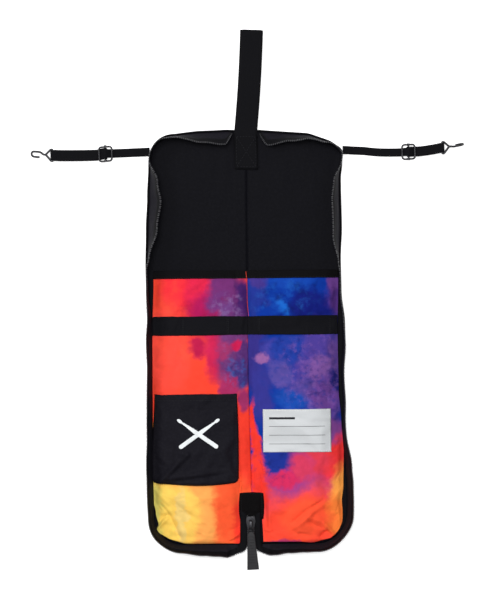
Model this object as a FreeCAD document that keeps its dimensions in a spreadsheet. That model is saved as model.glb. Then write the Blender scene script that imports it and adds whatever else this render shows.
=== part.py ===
import FreeCAD, Part
import math
import os

import Sketcher

# A drum stick bag, lying open on its back.
# +X is to the right, +Y towards the handle, +Z up from the floor, and the origin is
# the middle of the spine panel's back face. Lengths are millimetres, angles degrees.

DIMENSIONS = {
    # shell: two padded halves that fold about the two edges of a narrow spine
    "spine_width": 25.4,
    "half_width": 94.3,
    "panel_length": 456,
    "top_drop": 7,
    "top_corner": 28,
    "bottom_corner": 33,
    "shell_thickness": 0.8,
    "padding_thickness": 2.5,
    "lining_thickness": 0.5,
    "layer_gap": 0.1,
    "fold_gap": 0.15,
    "padding_inset": 2.5,
    "lining_inset": 0.6,
    "closing_angle": 82.2,
    # gusset, zipper tape and teeth round the free edge of each half
    "gusset_inset": 1.5,
    "gusset_start": 2.2,
    "gusset_lift": 0.9,
    "gusset_thickness": 1.2,
    "gusset_depth": 26,
    "gusset_headroom": 1.7,
    "notch_width": 7.5,
    "notch_height": 5.4,
    "notch_slope": 1.6,
    "tape_width": 7,
    "tape_thickness": 0.7,
    "teeth_radius": 1.1,
    # stick pockets: one arched pocket on each half, open at the top
    "pocket_inset": 2.6,
    "pocket_width": 88.2,
    "pocket_crest": 14.2,
    "pocket_cloth": 0.8,
    "pocket_mouth": 73.7,
    "pocket_taper_start": -188,
    "pocket_foot": -224.4,
    "pocket_foot_width": 66,
    "pocket_foot_crest": 2,
    "binding_width": 10,
    "binding_cloth": 1.1,
    "elastic_top": 24.2,
    "elastic_width": 20.5,
    "elastic_thickness": 1.2,
    "spine_strip_width": 20,
    # accessory pocket and owner label
    "accessory_top": -60.5,
    "accessory_length": 101,
    "accessory_depth": 3.8,
    "accessory_cloth": 0.8,
    "accessory_edge": 2.5,
    "label_top": -78,
    "label_length": 47,
    "label_thickness": 0.4,
    "label_outer": 13.5,
    # handle: a loop of one inch webbing, sewn inside the top of the spine
    "handle_width": 25.2,
    "webbing_thickness": 1.5,
    "anchor_length": 43,
    "handle_pivot": 230,
    "handle_start": 2,
    "handle_length": 109,
    "handle_slit": 0.2,
    "handle_stitch_length": 4,
    "handle_lean": -3.8,
    # zipper end in the middle of the bottom edge
    "patch_width": 25,
    "patch_length": 27,
    "patch_top": -170,
    "patch_thickness": 0.8,
    "end_tape_centre": 7.8,
    "end_tape_width": 7,
    "end_tape_height": 6.2,
    "end_tape_foot": -225,
    "teeth_line": 3.3,
    "end_teeth_radius": 0.9,
    "slider_top": -197.5,
    "slider_length": 14.5,
    "slider_width": 9.7,
    "slider_plate": 0.9,
    "slider_base": 4.2,
    "slider_channel": 2.2,
    "slider_wedge": 3.8,
    "slider_flange": 0.45,
    "slider_flange_height": 0.45,
    "bail_width": 2.4,
    "bail_top": -200,
    "bail_end": -210,
    "bail_height": 2.6,
    "bail_wire": 1,
    "pull_wire": 0.6,
    "pull_clearance": 0.05,
    "pull_link_width": 5.2,
    "pull_link_length": 5,
    "pull_eye_width": 3.4,
    "pull_eye_start": 3.8,
    "pull_eye_end": 6.4,
    "pull_shoulder": 7.2,
    "pull_neck_width": 8,
    "pull_tip_width": 13.3,
    "pull_length": 45.5,
    "pull_thickness": 2.2,
    "pull_round": 1,
    # straps: half inch webbing, a wire slide adjuster and a wire hook on each
    "strap_root_across": 107.6,
    "strap_root_along": 205.5,
    "strap_root_gap": 0.8,
    "strap_lean": 1.4,
    "strap_width": 12.7,
    "strap_thickness": 1.2,
    "strap_height": 0.4,
    "strap_overlap": 4,
    "left_adjuster": 47,
    "right_adjuster": 70.5,
    "left_bar": 105,
    "right_bar": 107.7,
    "loop_low": 2.5,
    "loop_high": 6.25,
    "loop_start": 5,
    "adjuster_wire": 1,
    "adjuster_half_length": 7,
    "adjuster_half_width": 7.9,
    "adjuster_clearance": 0.05,
    "hook_wire": 1.2,
    "hook_half_bar": 8.2,
    "hook_shoulder": 2.6,
    "hook_apex": 8.4,
    "hook_neck": 10,
    "hook_shank": 12.5,
    "hook_bend": 2.8,
    "hook_bend_centre": 20.3,
    "hook_tip": 14,
    "left_hook_roll": 0,
    "right_hook_roll": 80,
}

doc = FreeCAD.newDocument("DrumStickBag")
dims = doc.addObject("Spreadsheet::Sheet", "dims")
for row, (alias, number) in enumerate(DIMENSIONS.items(), start=1):
    dims.set(f"A{row}", alias)
    dims.set(f"B{row}", str(number))
    dims.setAlias(f"B{row}", alias)
doc.recompute()

# Formulas that several pieces share
FOLD = "dims.spine_width / 2"
PANEL_END = "dims.panel_length / 2"
PADDING_BASE = "(dims.shell_thickness + dims.layer_gap)"
LINING_BASE = f"({PADDING_BASE} + dims.padding_thickness + dims.layer_gap)"
FLOOR_OF_INSIDE = f"({LINING_BASE} + dims.lining_thickness)"
POCKET_BASE = f"({FLOOR_OF_INSIDE} + dims.layer_gap)"
OVER_POCKET = f"({POCKET_BASE} + dims.pocket_cloth + dims.layer_gap)"
POCKET_NEAR = f"({FOLD} + dims.pocket_inset)"
POCKET_FAR = f"({POCKET_NEAR} + dims.pocket_width)"
ARCH_RADIUS = "((dims.pocket_width / 2)^2 + dims.pocket_crest^2) / (2 * dims.pocket_crest)"
SIDES = {"left": -1, "right": 1}


def value(formula):
    """The number that a formula of the sheet's cells gives."""
    return float(dims.evalExpression(str(formula)))


def size(alias):
    """The number in one of the sheet's cells."""
    return float(dims.get(alias))


def new_body(label):
    body = doc.addObject("PartDesign::Body", label)
    body.Label = label
    return body


def origin_plane(body, role):
    return next(f for f in body.Origin.OriginFeatures if f.Role == role)


def arc_between(start, end, radius, turn):
    """The shorter arc from start to end; turn is 1 for counter-clockwise, -1 for clockwise."""
    chord = end - start
    rise = math.sqrt(max(radius**2 - (chord.Length / 2) ** 2, 0))
    normal = FreeCAD.Vector(-chord.y, chord.x, 0).normalize()
    centre = (start + end) * 0.5 + normal * rise * turn
    first, last = (start, end) if turn > 0 else (end, start)
    from_angle = math.atan2(first.y - centre.y, first.x - centre.x)
    to_angle = math.atan2(last.y - centre.y, last.x - centre.x)
    if to_angle < from_angle:
        to_angle += 2 * math.pi
    circle = Part.Circle(centre, FreeCAD.Vector(0, 0, 1), radius)
    return Part.ArcOfCircle(circle, from_angle, to_angle)


def draw(body, role, name, points, closed=True, offset="0", roll=None):
    """A sketch through points, each bound to the sheet.

    A point is (across, up), or (across, up, radius, turn) where an arc leads to it.
    """
    sketch = body.newObject("Sketcher::SketchObject", name)
    sketch.AttachmentSupport = [(origin_plane(body, role), "")]
    sketch.MapMode = "FlatFace"
    if roll:
        axis = FreeCAD.Vector(1, 0, 0)
        turned = FreeCAD.Rotation(axis, value(roll))
        sketch.AttachmentOffset = FreeCAD.Placement(FreeCAD.Vector(), turned)
    sketch.setExpression("AttachmentOffset.Base.z", str(offset))
    places = [FreeCAD.Vector(value(p[0]), value(p[1]), 0) for p in points]
    count = len(points)
    ends = []
    for i in range(count if closed else count - 1):
        after = (i + 1) % count
        if len(points[after]) == 4:
            radius, turn = points[after][2:]
            curve = arc_between(places[i], places[after], value(radius), turn)
            line = sketch.addGeometry(curve, False)
            sketch.addConstraint(Sketcher.Constraint("Radius", line, value(radius)))
            sketch.setExpression(f"Constraints[{sketch.ConstraintCount - 1}]", str(radius))
            ends.append((line, 1, 2) if turn > 0 else (line, 2, 1))
        else:
            line = sketch.addGeometry(Part.LineSegment(places[i], places[after]), False)
            ends.append((line, 1, 2))
    for i, (line, start, end) in enumerate(ends):
        if closed or i + 1 < len(ends):
            following, its_start, _ = ends[(i + 1) % len(ends)]
            joined = Sketcher.Constraint("Coincident", line, end, following, its_start)
            sketch.addConstraint(joined)
    corners = [(line, start) for line, start, _ in ends]
    if not closed:
        corners.append((ends[-1][0], ends[-1][2]))
    for (line, corner), point in zip(corners, points):
        for kind, formula in (("DistanceX", point[0]), ("DistanceY", point[1])):
            sketch.addConstraint(Sketcher.Constraint(kind, line, corner, value(formula)))
            sketch.setExpression(f"Constraints[{sketch.ConstraintCount - 1}]", str(formula))
    return sketch


def draw_circle(body, role, name, across, up, radius, offset="0"):
    sketch = body.newObject("Sketcher::SketchObject", name)
    sketch.AttachmentSupport = [(origin_plane(body, role), "")]
    sketch.MapMode = "FlatFace"
    sketch.setExpression("AttachmentOffset.Base.z", str(offset))
    centre = FreeCAD.Vector(value(across), value(up), 0)
    circle = Part.Circle(centre, FreeCAD.Vector(0, 0, 1), value(radius))
    sketch.addGeometry(circle, False)
    sketch.addConstraint(Sketcher.Constraint("Radius", 0, value(radius)))
    sketch.setExpression("Constraints[0]", str(radius))
    for number, (kind, formula) in enumerate((("DistanceX", across), ("DistanceY", up)), 1):
        sketch.addConstraint(Sketcher.Constraint(kind, 0, 3, value(formula)))
        sketch.setExpression(f"Constraints[{number}]", str(formula))
    return sketch


def pad(body, name, sketch, length, both_ways=False):
    feature = body.newObject("PartDesign::Pad", name)
    feature.Profile = sketch
    feature.Midplane = both_ways
    feature.setExpression("Length", str(length))
    return feature


def pocket(body, name, sketch, length, both_ways=False):
    """Cuts against the sketch's normal, and stops if nothing was cut."""
    doc.recompute()
    before = body.Shape.Volume
    feature = body.newObject("PartDesign::Pocket", name)
    feature.Profile = sketch
    feature.Midplane = both_ways
    feature.setExpression("Length", str(length))
    doc.recompute()
    if not feature.Shape.Volume < before:
        raise ValueError(f"{body.Label}: {name} cuts nothing")
    return feature


def pipe(body, name, profile, path):
    feature = body.newObject("PartDesign::AdditivePipe", name)
    feature.Profile = profile
    feature.Spine = (path, [f"Edge{n + 1}" for n in range(path.GeometryCount)])
    feature.Transition = "Round corner"
    return feature


def fillet(body, name, base, radius, wanted):
    """Rounds the edges of base that wanted picks by their middle point and direction."""
    doc.recompute()
    names = []
    for number, edge in enumerate(base.Shape.Edges, start=1):
        middle = edge.valueAt((edge.FirstParameter + edge.LastParameter) / 2)
        along = edge.Vertexes[-1].Point - edge.Vertexes[0].Point
        if wanted(middle, along):
            names.append(f"Edge{number}")
    feature = body.newObject("PartDesign::Fillet", name)
    feature.Base = (base, names)
    feature.setExpression("Radius", str(radius))
    return feature


def rectangle(left, right, low, high):
    return [(left, low), (right, low), (right, high), (left, high)]


def flat_piece(label, corners, base, thickness):
    """A flat piece with the given outline, seen from above, lying at height base."""
    body = new_body(label)
    outline = draw(body, "XY_Plane", label + "_outline", corners, offset=base)
    return body, pad(body, label + "_cloth", outline, thickness)


# --- the padded shell ---------------------------------------------------------


def spine_layer(label, inset, base, thickness):
    half = f"({FOLD} - {inset})"
    end = f"({PANEL_END} - {inset})"
    flat_piece(label, rectangle(f"-{half}", half, f"-{end}", end), base, thickness)


def half_layer(label, side, inset, base, thickness):
    """One layer of a half: its top edge falls a little towards the rounded corner."""
    near = f"{side} * ({FOLD} + dims.fold_gap)"
    far = f"{side} * ({FOLD} + dims.half_width - {inset})"
    top = f"({PANEL_END} - {inset})"
    corners = [(near, f"-{top}"), (far, f"-{top}"), (far, f"{top} - dims.top_drop"), (near, top)]
    body, sheet_of_cloth = flat_piece(label, corners, base, thickness)
    outer = abs(value(far))

    def corner(end):
        def wanted(middle, along):
            upright = abs(along.z) > 0.9 * along.Length
            return upright and abs(abs(middle.x) - outer) < 0.01 and middle.y * end > 0
        return wanted

    top_round = fillet(body, label + "_top_round", sheet_of_cloth,
                       f"dims.top_corner - {inset}", corner(1))
    fillet(body, label + "_bottom_round", top_round,
           f"dims.bottom_corner - {inset}", corner(-1))


spine_layer("spine_outer_panel", "0.0", "0", "dims.shell_thickness")
spine_layer("spine_padding", "dims.fold_gap", PADDING_BASE, "dims.padding_thickness")
spine_layer("spine_lining", "dims.fold_gap", LINING_BASE, "dims.lining_thickness")
for name, side in SIDES.items():
    half_layer(f"{name}_outer_panel", side, "0", "0", "dims.shell_thickness")
    half_layer(f"{name}_padding", side, "dims.padding_inset", PADDING_BASE,
               "dims.padding_thickness")
    half_layer(f"{name}_lining", side, "dims.lining_inset", LINING_BASE,
               "dims.lining_thickness")


# --- gusset, zipper tape and teeth --------------------------------------------
# The edge of a half is walked from the top of the fold (0) along the top edge (to 1),
# round the top corner (to 2), down the side (to 3), round the bottom corner (to 4) and
# along the bottom edge to the fold (5).


# Both halves are worked out on the right, and the left one is then mirrored.


def edge_point(walked):
    """A point of the gusset's seam and the level direction that points out of the bag."""
    inset = size("gusset_inset")
    near = size("spine_width") / 2 + size("gusset_start")
    far = size("spine_width") / 2 + size("half_width") - inset
    top = size("panel_length") / 2 - inset
    slope = math.atan2(size("top_drop"), size("half_width"))
    top_radius = size("top_corner") - inset
    low_radius = size("bottom_corner") - inset
    reach = top_radius * math.tan((math.pi / 2 - slope) / 2)
    side_top = top - size("top_drop") - reach
    part = walked - min(int(walked), 4)
    if walked < 1:
        end_height = side_top + reach * (1 + math.sin(slope))
        end = FreeCAD.Vector(far - reach * math.cos(slope), end_height, 0)
        start = FreeCAD.Vector(near, end.y + (end.x - near) * math.tan(slope), 0)
        place = start + (end - start) * part
        turn = math.pi / 2 - slope
    elif walked < 2:
        turn = (math.pi / 2 - slope) * (1 - part)
        centre = FreeCAD.Vector(far - top_radius, side_top, 0)
        place = centre + FreeCAD.Vector(math.cos(turn), math.sin(turn), 0) * top_radius
    elif walked < 3:
        turn = 0
        place = FreeCAD.Vector(far, side_top + (low_radius - top - side_top) * part, 0)
    elif walked < 4:
        turn = -math.pi / 2 * part
        centre = FreeCAD.Vector(far - low_radius, low_radius - top, 0)
        place = centre + FreeCAD.Vector(math.cos(turn), math.sin(turn), 0) * low_radius
    else:
        turn = -math.pi / 2
        place = FreeCAD.Vector(far - low_radius + (near - far + low_radius) * part, -top, 0)
    return place, FreeCAD.Vector(math.cos(turn), math.sin(turn), 0)


# How far the zipper leans over the seam, outwards if positive: (place on the edge, lean)
LEAN = {
    "left": [(0, -8), (0.15, -16), (0.5, -12), (1, -3), (1.5, 0), (2, 0), (2.06, -11),
             (2.12, -16), (2.19, -14), (2.27, -4), (2.31, 0), (2.5, 6.5), (2.9, 7),
             (3.5, 9), (4, 13.5), (4.75, 13.5), (5, 8)],
    "right": [(0, -8), (0.15, -15), (0.5, -9), (1, -4), (1.5, 0), (2, 0), (2.06, -8),
              (2.12, -11), (2.21, -10), (2.29, -2), (2.33, 0), (2.7, 1), (2.85, 5),
              (3.5, 8), (4, 12), (4.75, 12), (5, 8)],
}


def lean_at(walked, name):
    stops = LEAN[name]
    for (before, first), (after, last) in zip(stops, stops[1:]):
        if walked <= after:
            part = (walked - before) / (after - before)
            return first + (last - first) * (1 - math.cos(math.pi * part)) / 2
    return stops[-1][1]


def headroom(from_fold):
    """The height above the fold at which the two closed halves meet."""
    angle = math.radians(size("closing_angle"))
    return (size("spine_width") / 2 + from_fold * math.cos(angle)) / math.sin(angle)


def zipper_station(walked, name):
    """The seam point, the direction up the gusset, its thin direction and its depth."""
    seam, outward = edge_point(walked)
    lean = lean_at(walked, name)
    tip_from_fold = seam.x + outward.x * lean - size("spine_width") / 2
    height = headroom(max(tip_from_fold, 0)) - size("gusset_headroom")
    if walked > 4:
        beyond_notch = max(tip_from_fold - size("notch_width"), 0)
        height = min(height, size("notch_height") + size("notch_slope") * beyond_notch)
    depth = min(size("gusset_depth"), math.hypot(height, lean))
    rise = math.sqrt(depth**2 - lean**2) / depth
    up_gusset = outward * (lean / depth) + FreeCAD.Vector(0, 0, rise)
    thin = outward * rise - FreeCAD.Vector(0, 0, lean / depth)
    base = value(FLOOR_OF_INSIDE) + size("gusset_lift")
    return seam + FreeCAD.Vector(0, 0, base), up_gusset, thin, depth


def stations(name):
    places = [0, 0.08, 0.15, 0.32, 0.5, 0.75, 1, 1.25, 1.5, 1.75, 2]
    places += [2 + step for step in (0.03, 0.06, 0.09, 0.12, 0.155, 0.19, 0.23, 0.27, 0.31)]
    places += [2 + step for step in (0.4, 0.5, 0.6, 0.7, 0.775, 0.85, 0.925)]
    places += [3, 3.25, 3.5, 3.75, 4, 4.25, 4.5, 4.7, 4.8, 4.9, 5]
    return [zipper_station(place, name) for place in places]


def band(label, name, bottom_of, top_of, thickness):
    """A ribbon that follows the gusset between two heights measured up its slope."""
    rings = []
    for seam, up_gusset, thin, depth in stations(name):
        low = seam + up_gusset * bottom_of(depth)
        high = seam + up_gusset * top_of(depth)
        step = thin * (thickness / 2)
        corners = [low - step, low + step, high + step, high - step, low - step]
        rings.append(Part.makePolygon(corners))
    ribbon = Part.makeLoft(rings, True, True)
    if name == "left":
        ribbon = ribbon.mirror(FreeCAD.Vector(), FreeCAD.Vector(1, 0, 0))
    piece = doc.addObject("Part::Feature", label)
    piece.Label = label
    piece.Shape = ribbon


for name in SIDES:
    gap = size("layer_gap")
    coil = 2 * size("teeth_radius")
    tape = size("tape_width")
    band(f"{name}_gusset", name, lambda depth: 0,
         lambda depth: depth - coil - tape - 2 * gap, size("gusset_thickness"))
    band(f"{name}_zipper_tape", name, lambda depth: depth - coil - tape - gap,
         lambda depth: depth - coil - gap, size("tape_thickness"))
    band(f"{name}_zipper_teeth", name, lambda depth: depth - coil, lambda depth: depth, coil)


# --- stick pockets, their bindings and the elastic band -----------------------


def arch(body, name, side, along, base, thickness, inset="0"):
    """An arched strip seen along the bag, cut in from both feet by inset."""
    near = f"{side} * ({POCKET_NEAR} + {inset})"
    far = f"{side} * ({POCKET_FAR} - {inset})"
    half = "dims.pocket_width / 2"
    foot = (f"({base} + sqrt(({ARCH_RADIUS})^2 - ({half} - {inset})^2)"
            f" - sqrt(({ARCH_RADIUS})^2 - ({half})^2))")
    points = [(near, foot), (far, foot, ARCH_RADIUS, -side),
              (far, f"{foot} + {thickness}"), (near, f"{foot} + {thickness}", ARCH_RADIUS, side)]
    return draw(body, "XZ_Plane", name, points, offset=f"-({along})")


def stick_pocket(label, side):
    """An arched front from the mouth down, drawn in to a low foot at the bottom."""
    body = new_body(label)
    start = "dims.pocket_taper_start"
    front = arch(body, label + "_arch", side, "dims.pocket_mouth", POCKET_BASE, "dims.pocket_cloth")
    pad(body, label + "_front", front, f"dims.pocket_mouth - {start}")
    top = arch(body, label + "_taper_top", side, start, POCKET_BASE, "dims.pocket_cloth")
    near = f"{side} * {POCKET_NEAR}"
    far = f"{side} * ({POCKET_NEAR} + dims.pocket_foot_width)"
    radius = ("((dims.pocket_foot_width / 2)^2 + dims.pocket_foot_crest^2)"
              " / (2 * dims.pocket_foot_crest)")
    raised = f"({POCKET_BASE} + dims.pocket_cloth)"
    points = [(near, POCKET_BASE), (far, POCKET_BASE, radius, -side),
              (far, raised), (near, raised, radius, side)]
    foot = draw(body, "XZ_Plane", label + "_taper_foot", points, offset="-(dims.pocket_foot)")
    taper = body.newObject("PartDesign::AdditiveLoft", label + "_taper")
    taper.Profile = top
    taper.Sections = [foot]


def arched_piece(label, side, top, length, base, thickness):
    body = new_body(label)
    section = arch(body, label + "_arch", side, top, base, thickness)
    pad(body, label + "_cloth", section, length)
    return body


def accessory_pocket(label, side):
    """A pouch on the front of the stick pocket, open at the top."""
    length = "dims.accessory_length"
    body = arched_piece(label, side, "dims.accessory_top", length, OVER_POCKET,
                        "dims.accessory_depth")
    room = arch(body, label + "_room", side,
                f"dims.accessory_top - {length} + dims.accessory_edge",
                f"({OVER_POCKET} + dims.accessory_cloth)",
                "dims.accessory_depth - 2 * dims.accessory_cloth", "dims.accessory_edge")
    pocket(body, label + "_hollow", room, length)


def owner_label(label, side):
    """A card-sized label sewn to the front of the stick pocket."""
    body = arched_piece(label, side, "dims.label_top", "dims.label_length", OVER_POCKET,
                        "dims.label_thickness")
    outer = f"{side} * ({POCKET_FAR} - dims.label_outer)"
    beyond = f"{side} * ({POCKET_FAR} + dims.label_outer)"
    trim = draw(body, "XZ_Plane", label + "_trim",
                rectangle(outer, beyond, "0", "2 * dims.pocket_crest"))
    pocket(body, label + "_short", trim, "2 * dims.panel_length", both_ways=True)


def flat_strip(label, half, low, high, base, thickness):
    flat_piece(label, rectangle(f"-{half}", half, low, high), base, thickness)


BINDING_FOOT = "(dims.pocket_mouth - dims.binding_width)"
ELASTIC_FOOT = "(dims.elastic_top - dims.elastic_width)"
STRIP_HALF = "(dims.spine_strip_width / 2)"
for name, side in SIDES.items():
    stick_pocket(f"{name}_stick_pocket", side)
    arched_piece(f"{name}_pocket_binding", side, "dims.pocket_mouth", "dims.binding_width",
                 OVER_POCKET, "dims.binding_cloth")
    arched_piece(f"{name}_elastic_band", side, "dims.elastic_top", "dims.elastic_width",
                 OVER_POCKET, "dims.elastic_thickness")
accessory_pocket("accessory_pocket", SIDES["left"])
owner_label("owner_label", SIDES["right"])
flat_strip("spine_pocket_strip", STRIP_HALF, "dims.patch_top + dims.layer_gap",
           "dims.pocket_mouth", POCKET_BASE, "dims.pocket_cloth")
flat_strip("spine_pocket_binding", STRIP_HALF, BINDING_FOOT, "dims.pocket_mouth",
           OVER_POCKET, "dims.binding_cloth")
flat_strip("spine_elastic_band", STRIP_HALF, ELASTIC_FOOT, "dims.elastic_top",
           OVER_POCKET, "dims.elastic_thickness")


# --- handle -------------------------------------------------------------------

HANDLE_HALF = "(dims.handle_width / 2)"
flat_strip("handle_anchor", HANDLE_HALF, f"{PANEL_END} - dims.anchor_length", PANEL_END,
           POCKET_BASE, "dims.webbing_thickness")


def handle_loop(label):
    """Two lengths of webbing, one on the other, joined in a fold at the far end."""
    body = new_body(label)
    body.Placement.Rotation = FreeCAD.Rotation(FreeCAD.Vector(0, 0, 1), size("handle_lean"))
    body.setExpression("Placement.Base.y", "dims.handle_pivot")
    body.setExpression("Placement.Base.z", FLOOR_OF_INSIDE)
    thick = "(2 * dims.webbing_thickness + dims.handle_slit)"
    tip = "dims.handle_length"
    outline = draw(body, "XY_Plane", label + "_outline",
                   rectangle(f"-{HANDLE_HALF}", HANDLE_HALF, "dims.handle_start", tip),
                   offset=f"-{thick} / 2")
    block = pad(body, label + "_webbing", outline, thick)
    slit_end = f"{tip} - dims.webbing_thickness"
    slit_start = "dims.handle_start + dims.handle_stitch_length"
    slit = draw(body, "YZ_Plane", label + "_slit_outline",
                rectangle(slit_start, slit_end, "-dims.handle_slit / 2", "dims.handle_slit / 2"))
    opened = pocket(body, label + "_slit", slit, "2 * dims.handle_width", both_ways=True)
    end = size("handle_length")

    def tip_edge(middle, along):
        return abs(middle.y - end) < 0.01 and abs(along.x) > 0.9 * along.Length

    fillet(body, label + "_fold", opened, "dims.webbing_thickness - dims.layer_gap", tip_edge)


handle_loop("handle_loop")


# --- zipper end, slider and pull ----------------------------------------------

flat_strip("zipper_end_patch", "(dims.patch_width / 2)", "dims.patch_top - dims.patch_length",
           "dims.patch_top", OVER_POCKET, "dims.patch_thickness")


def end_tape(label, side):
    """A straight length of zipper tape from under the patch to the bottom edge."""
    inner = f"{side} * (dims.end_tape_centre - dims.end_tape_width / 2)"
    outer = f"{side} * (dims.end_tape_centre + dims.end_tape_width / 2)"
    top = "(dims.patch_top - dims.patch_length - dims.layer_gap)"
    flat_piece(label, rectangle(inner, outer, "dims.end_tape_foot", top),
               "dims.end_tape_height - dims.tape_thickness / 2", "dims.tape_thickness")


def end_teeth(label, side):
    """The straight coil beside the slider's path."""
    body = new_body(label)
    top = "(dims.patch_top - dims.patch_length - dims.layer_gap)"
    bead = draw_circle(body, "XZ_Plane", label + "_end", f"{side} * dims.teeth_line",
                       "dims.end_tape_height", "dims.end_teeth_radius", offset=f"-{top}")
    pad(body, label + "_coil", bead, f"{top} - dims.end_tape_foot")


for name, side in SIDES.items():
    end_tape(f"zipper_end_tape_{name}", side)
    end_teeth(f"zipper_end_teeth_{name}", side)

SLIDER_FOOT = "(dims.slider_top - dims.slider_length)"
CHANNEL_BASE = "(dims.slider_base + dims.slider_plate)"
CHANNEL_TOP = f"({CHANNEL_BASE} + dims.slider_channel)"
SLIDER_TOP_FACE = f"({CHANNEL_TOP} + dims.slider_plate)"


def zip_slider(label):
    """Two plates joined by a wedge, with a channel for the teeth on each side of it."""
    body = new_body(label)
    outline = draw(body, "XY_Plane", label + "_outline",
                   rectangle("-dims.slider_width / 2", "dims.slider_width / 2",
                             SLIDER_FOOT, "dims.slider_top"), offset="dims.slider_base")
    pad(body, label + "_block", outline, f"{SLIDER_TOP_FACE} - dims.slider_base")
    wedge_half = "dims.slider_wedge / 2"
    flange = "(dims.slider_width / 2 - dims.slider_flange)"
    for name, side in SIDES.items():
        room = draw(body, "XZ_Plane", f"{label}_{name}_channel_end",
                    rectangle(f"{side} * {wedge_half}", f"{side} * {flange}",
                              CHANNEL_BASE, CHANNEL_TOP))
        pocket(body, f"{label}_{name}_channel", room, "2 * dims.panel_length", both_ways=True)
        slot = draw(body, "XZ_Plane", f"{label}_{name}_slot_end",
                    rectangle(f"{side} * {wedge_half}", f"{side} * dims.slider_width",
                              f"{CHANNEL_BASE} + dims.slider_flange_height",
                              f"{CHANNEL_TOP} - dims.slider_flange_height"))
        pocket(body, f"{label}_{name}_slot", slot, "2 * dims.panel_length", both_ways=True)
    foot = value(SLIDER_FOOT)
    half = size("slider_width") / 2

    def corner(middle, along):
        upright = abs(along.z) > 0.9 * along.Length
        outside = abs(abs(middle.x) - half) < 0.01
        at_an_end = min(abs(middle.y - foot), abs(middle.y - size("slider_top"))) < 0.01
        return upright and outside and at_an_end

    fillet(body, label + "_round", body.Tip, "dims.slider_flange - dims.pull_clearance", corner)


def zip_slider_bail(label):
    """The bridge on the slider that holds the pull."""
    body = new_body(label)
    low = f"({SLIDER_TOP_FACE} + dims.pull_clearance)"
    high = f"({SLIDER_TOP_FACE} + dims.bail_height)"
    outline = draw(body, "YZ_Plane", label + "_side",
                   rectangle("dims.bail_end", "dims.bail_top", low, high))
    pad(body, label + "_bridge", outline, "dims.bail_width", both_ways=True)
    window = draw(body, "YZ_Plane", label + "_window_side",
                  rectangle("dims.bail_end + dims.bail_wire", "dims.bail_top - dims.bail_wire",
                            f"{low} - dims.bail_wire", f"{high} - dims.bail_wire"))
    opened = pocket(body, label + "_window", window, "2 * dims.bail_width", both_ways=True)
    top = value(high)

    def end_edge(middle, along):
        return abs(middle.z - top) < 0.01 and abs(along.x) > 0.9 * along.Length

    fillet(body, label + "_bend", opened, "dims.bail_wire", end_edge)


PULL_ALONG = "(dims.bail_end + dims.bail_wire + dims.pull_wire + dims.pull_clearance)"
PULL_UP = f"({SLIDER_TOP_FACE} + dims.bail_height / 2 - dims.bail_wire / 2)"


def at_the_pull(body):
    body.setExpression("Placement.Base.y", PULL_ALONG)
    body.setExpression("Placement.Base.z", PULL_UP)


def pull_link(label):
    """A wire ring through the bail; its near side is the pin that the pull turns on."""
    body = new_body(label)
    at_the_pull(body)
    half = "dims.pull_link_width / 2"
    points = [("0", "0"), (half, "0"), (half, "-dims.pull_link_length"),
              (f"-{half}", "-dims.pull_link_length"), (f"-{half}", "0")]
    ring = draw(body, "XY_Plane", label + "_path", points)
    wire = draw_circle(body, "YZ_Plane", label + "_wire", "0", "0", "dims.pull_wire")
    pipe(body, label + "_ring", wire, ring)


def pull_tab(label):
    """The rubber tab: its narrow eye holds the far side of the ring."""
    body = new_body(label)
    at_the_pull(body)
    eye = "dims.pull_eye_width / 2"
    neck = "dims.pull_neck_width / 2"
    tip = "dims.pull_tip_width / 2"
    right = [(eye, "-dims.pull_eye_start"), (eye, "-dims.pull_eye_end"),
             (neck, "-dims.pull_shoulder"), (tip, "-dims.pull_length")]
    left = [(f"-{across}", along) for across, along in reversed(right)]
    outline = draw(body, "XY_Plane", label + "_outline", right + left,
                   offset="-dims.pull_thickness / 2")
    pad(body, label + "_rubber", outline, "dims.pull_thickness")
    bore = draw_circle(body, "YZ_Plane", label + "_bore_end", "-dims.pull_link_length", "0",
                       "dims.pull_wire + dims.pull_clearance")
    opened = pocket(body, label + "_bore", bore, "2 * dims.pull_tip_width", both_ways=True)
    end = size("pull_length")

    def tip_corner(middle, along):
        return abs(along.z) > 0.9 * along.Length and abs(middle.y + end) < 0.01

    fillet(body, label + "_round", opened, "dims.pull_round", tip_corner)


zip_slider("zip_slider")
zip_slider_bail("zip_slider_bail")
pull_link("pull_link")
pull_tab("pull_tab")


# --- straps -------------------------------------------------------------------
# Each strap is drawn from its root, with +X out along the webbing, and then laid out.

ADJUSTER_RING = "(dims.adjuster_wire + dims.adjuster_clearance + dims.strap_thickness / 2)"
ADJUSTER_HEIGHT = f"(dims.loop_high - {ADJUSTER_RING})"
BAR_RING = "((dims.loop_high - dims.loop_low) / 2)"
BAR_HEIGHT = f"(dims.loop_low + {BAR_RING})"


def strap_body(label, name):
    body = new_body(label)
    turn = size("strap_lean") + (180 if name == "left" else 0)
    body.Placement.Rotation = FreeCAD.Rotation(FreeCAD.Vector(0, 0, 1), turn)
    body.setExpression("Placement.Base.x", f"{SIDES[name]} * dims.strap_root_across")
    body.setExpression("Placement.Base.y", "dims.strap_root_along")
    return body


def strap_webbing(label, name):
    """The single length of webbing from the seam to the adjuster."""
    body = strap_body(label, name)
    half = "dims.strap_width / 2"
    end = f"dims.{name}_adjuster + dims.strap_overlap"
    outline = draw(body, "XY_Plane", label + "_outline",
                   rectangle("dims.strap_root_gap", end, f"-{half}", half),
                   offset="dims.strap_height")
    pad(body, label + "_cloth", outline, "dims.strap_thickness")


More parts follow.
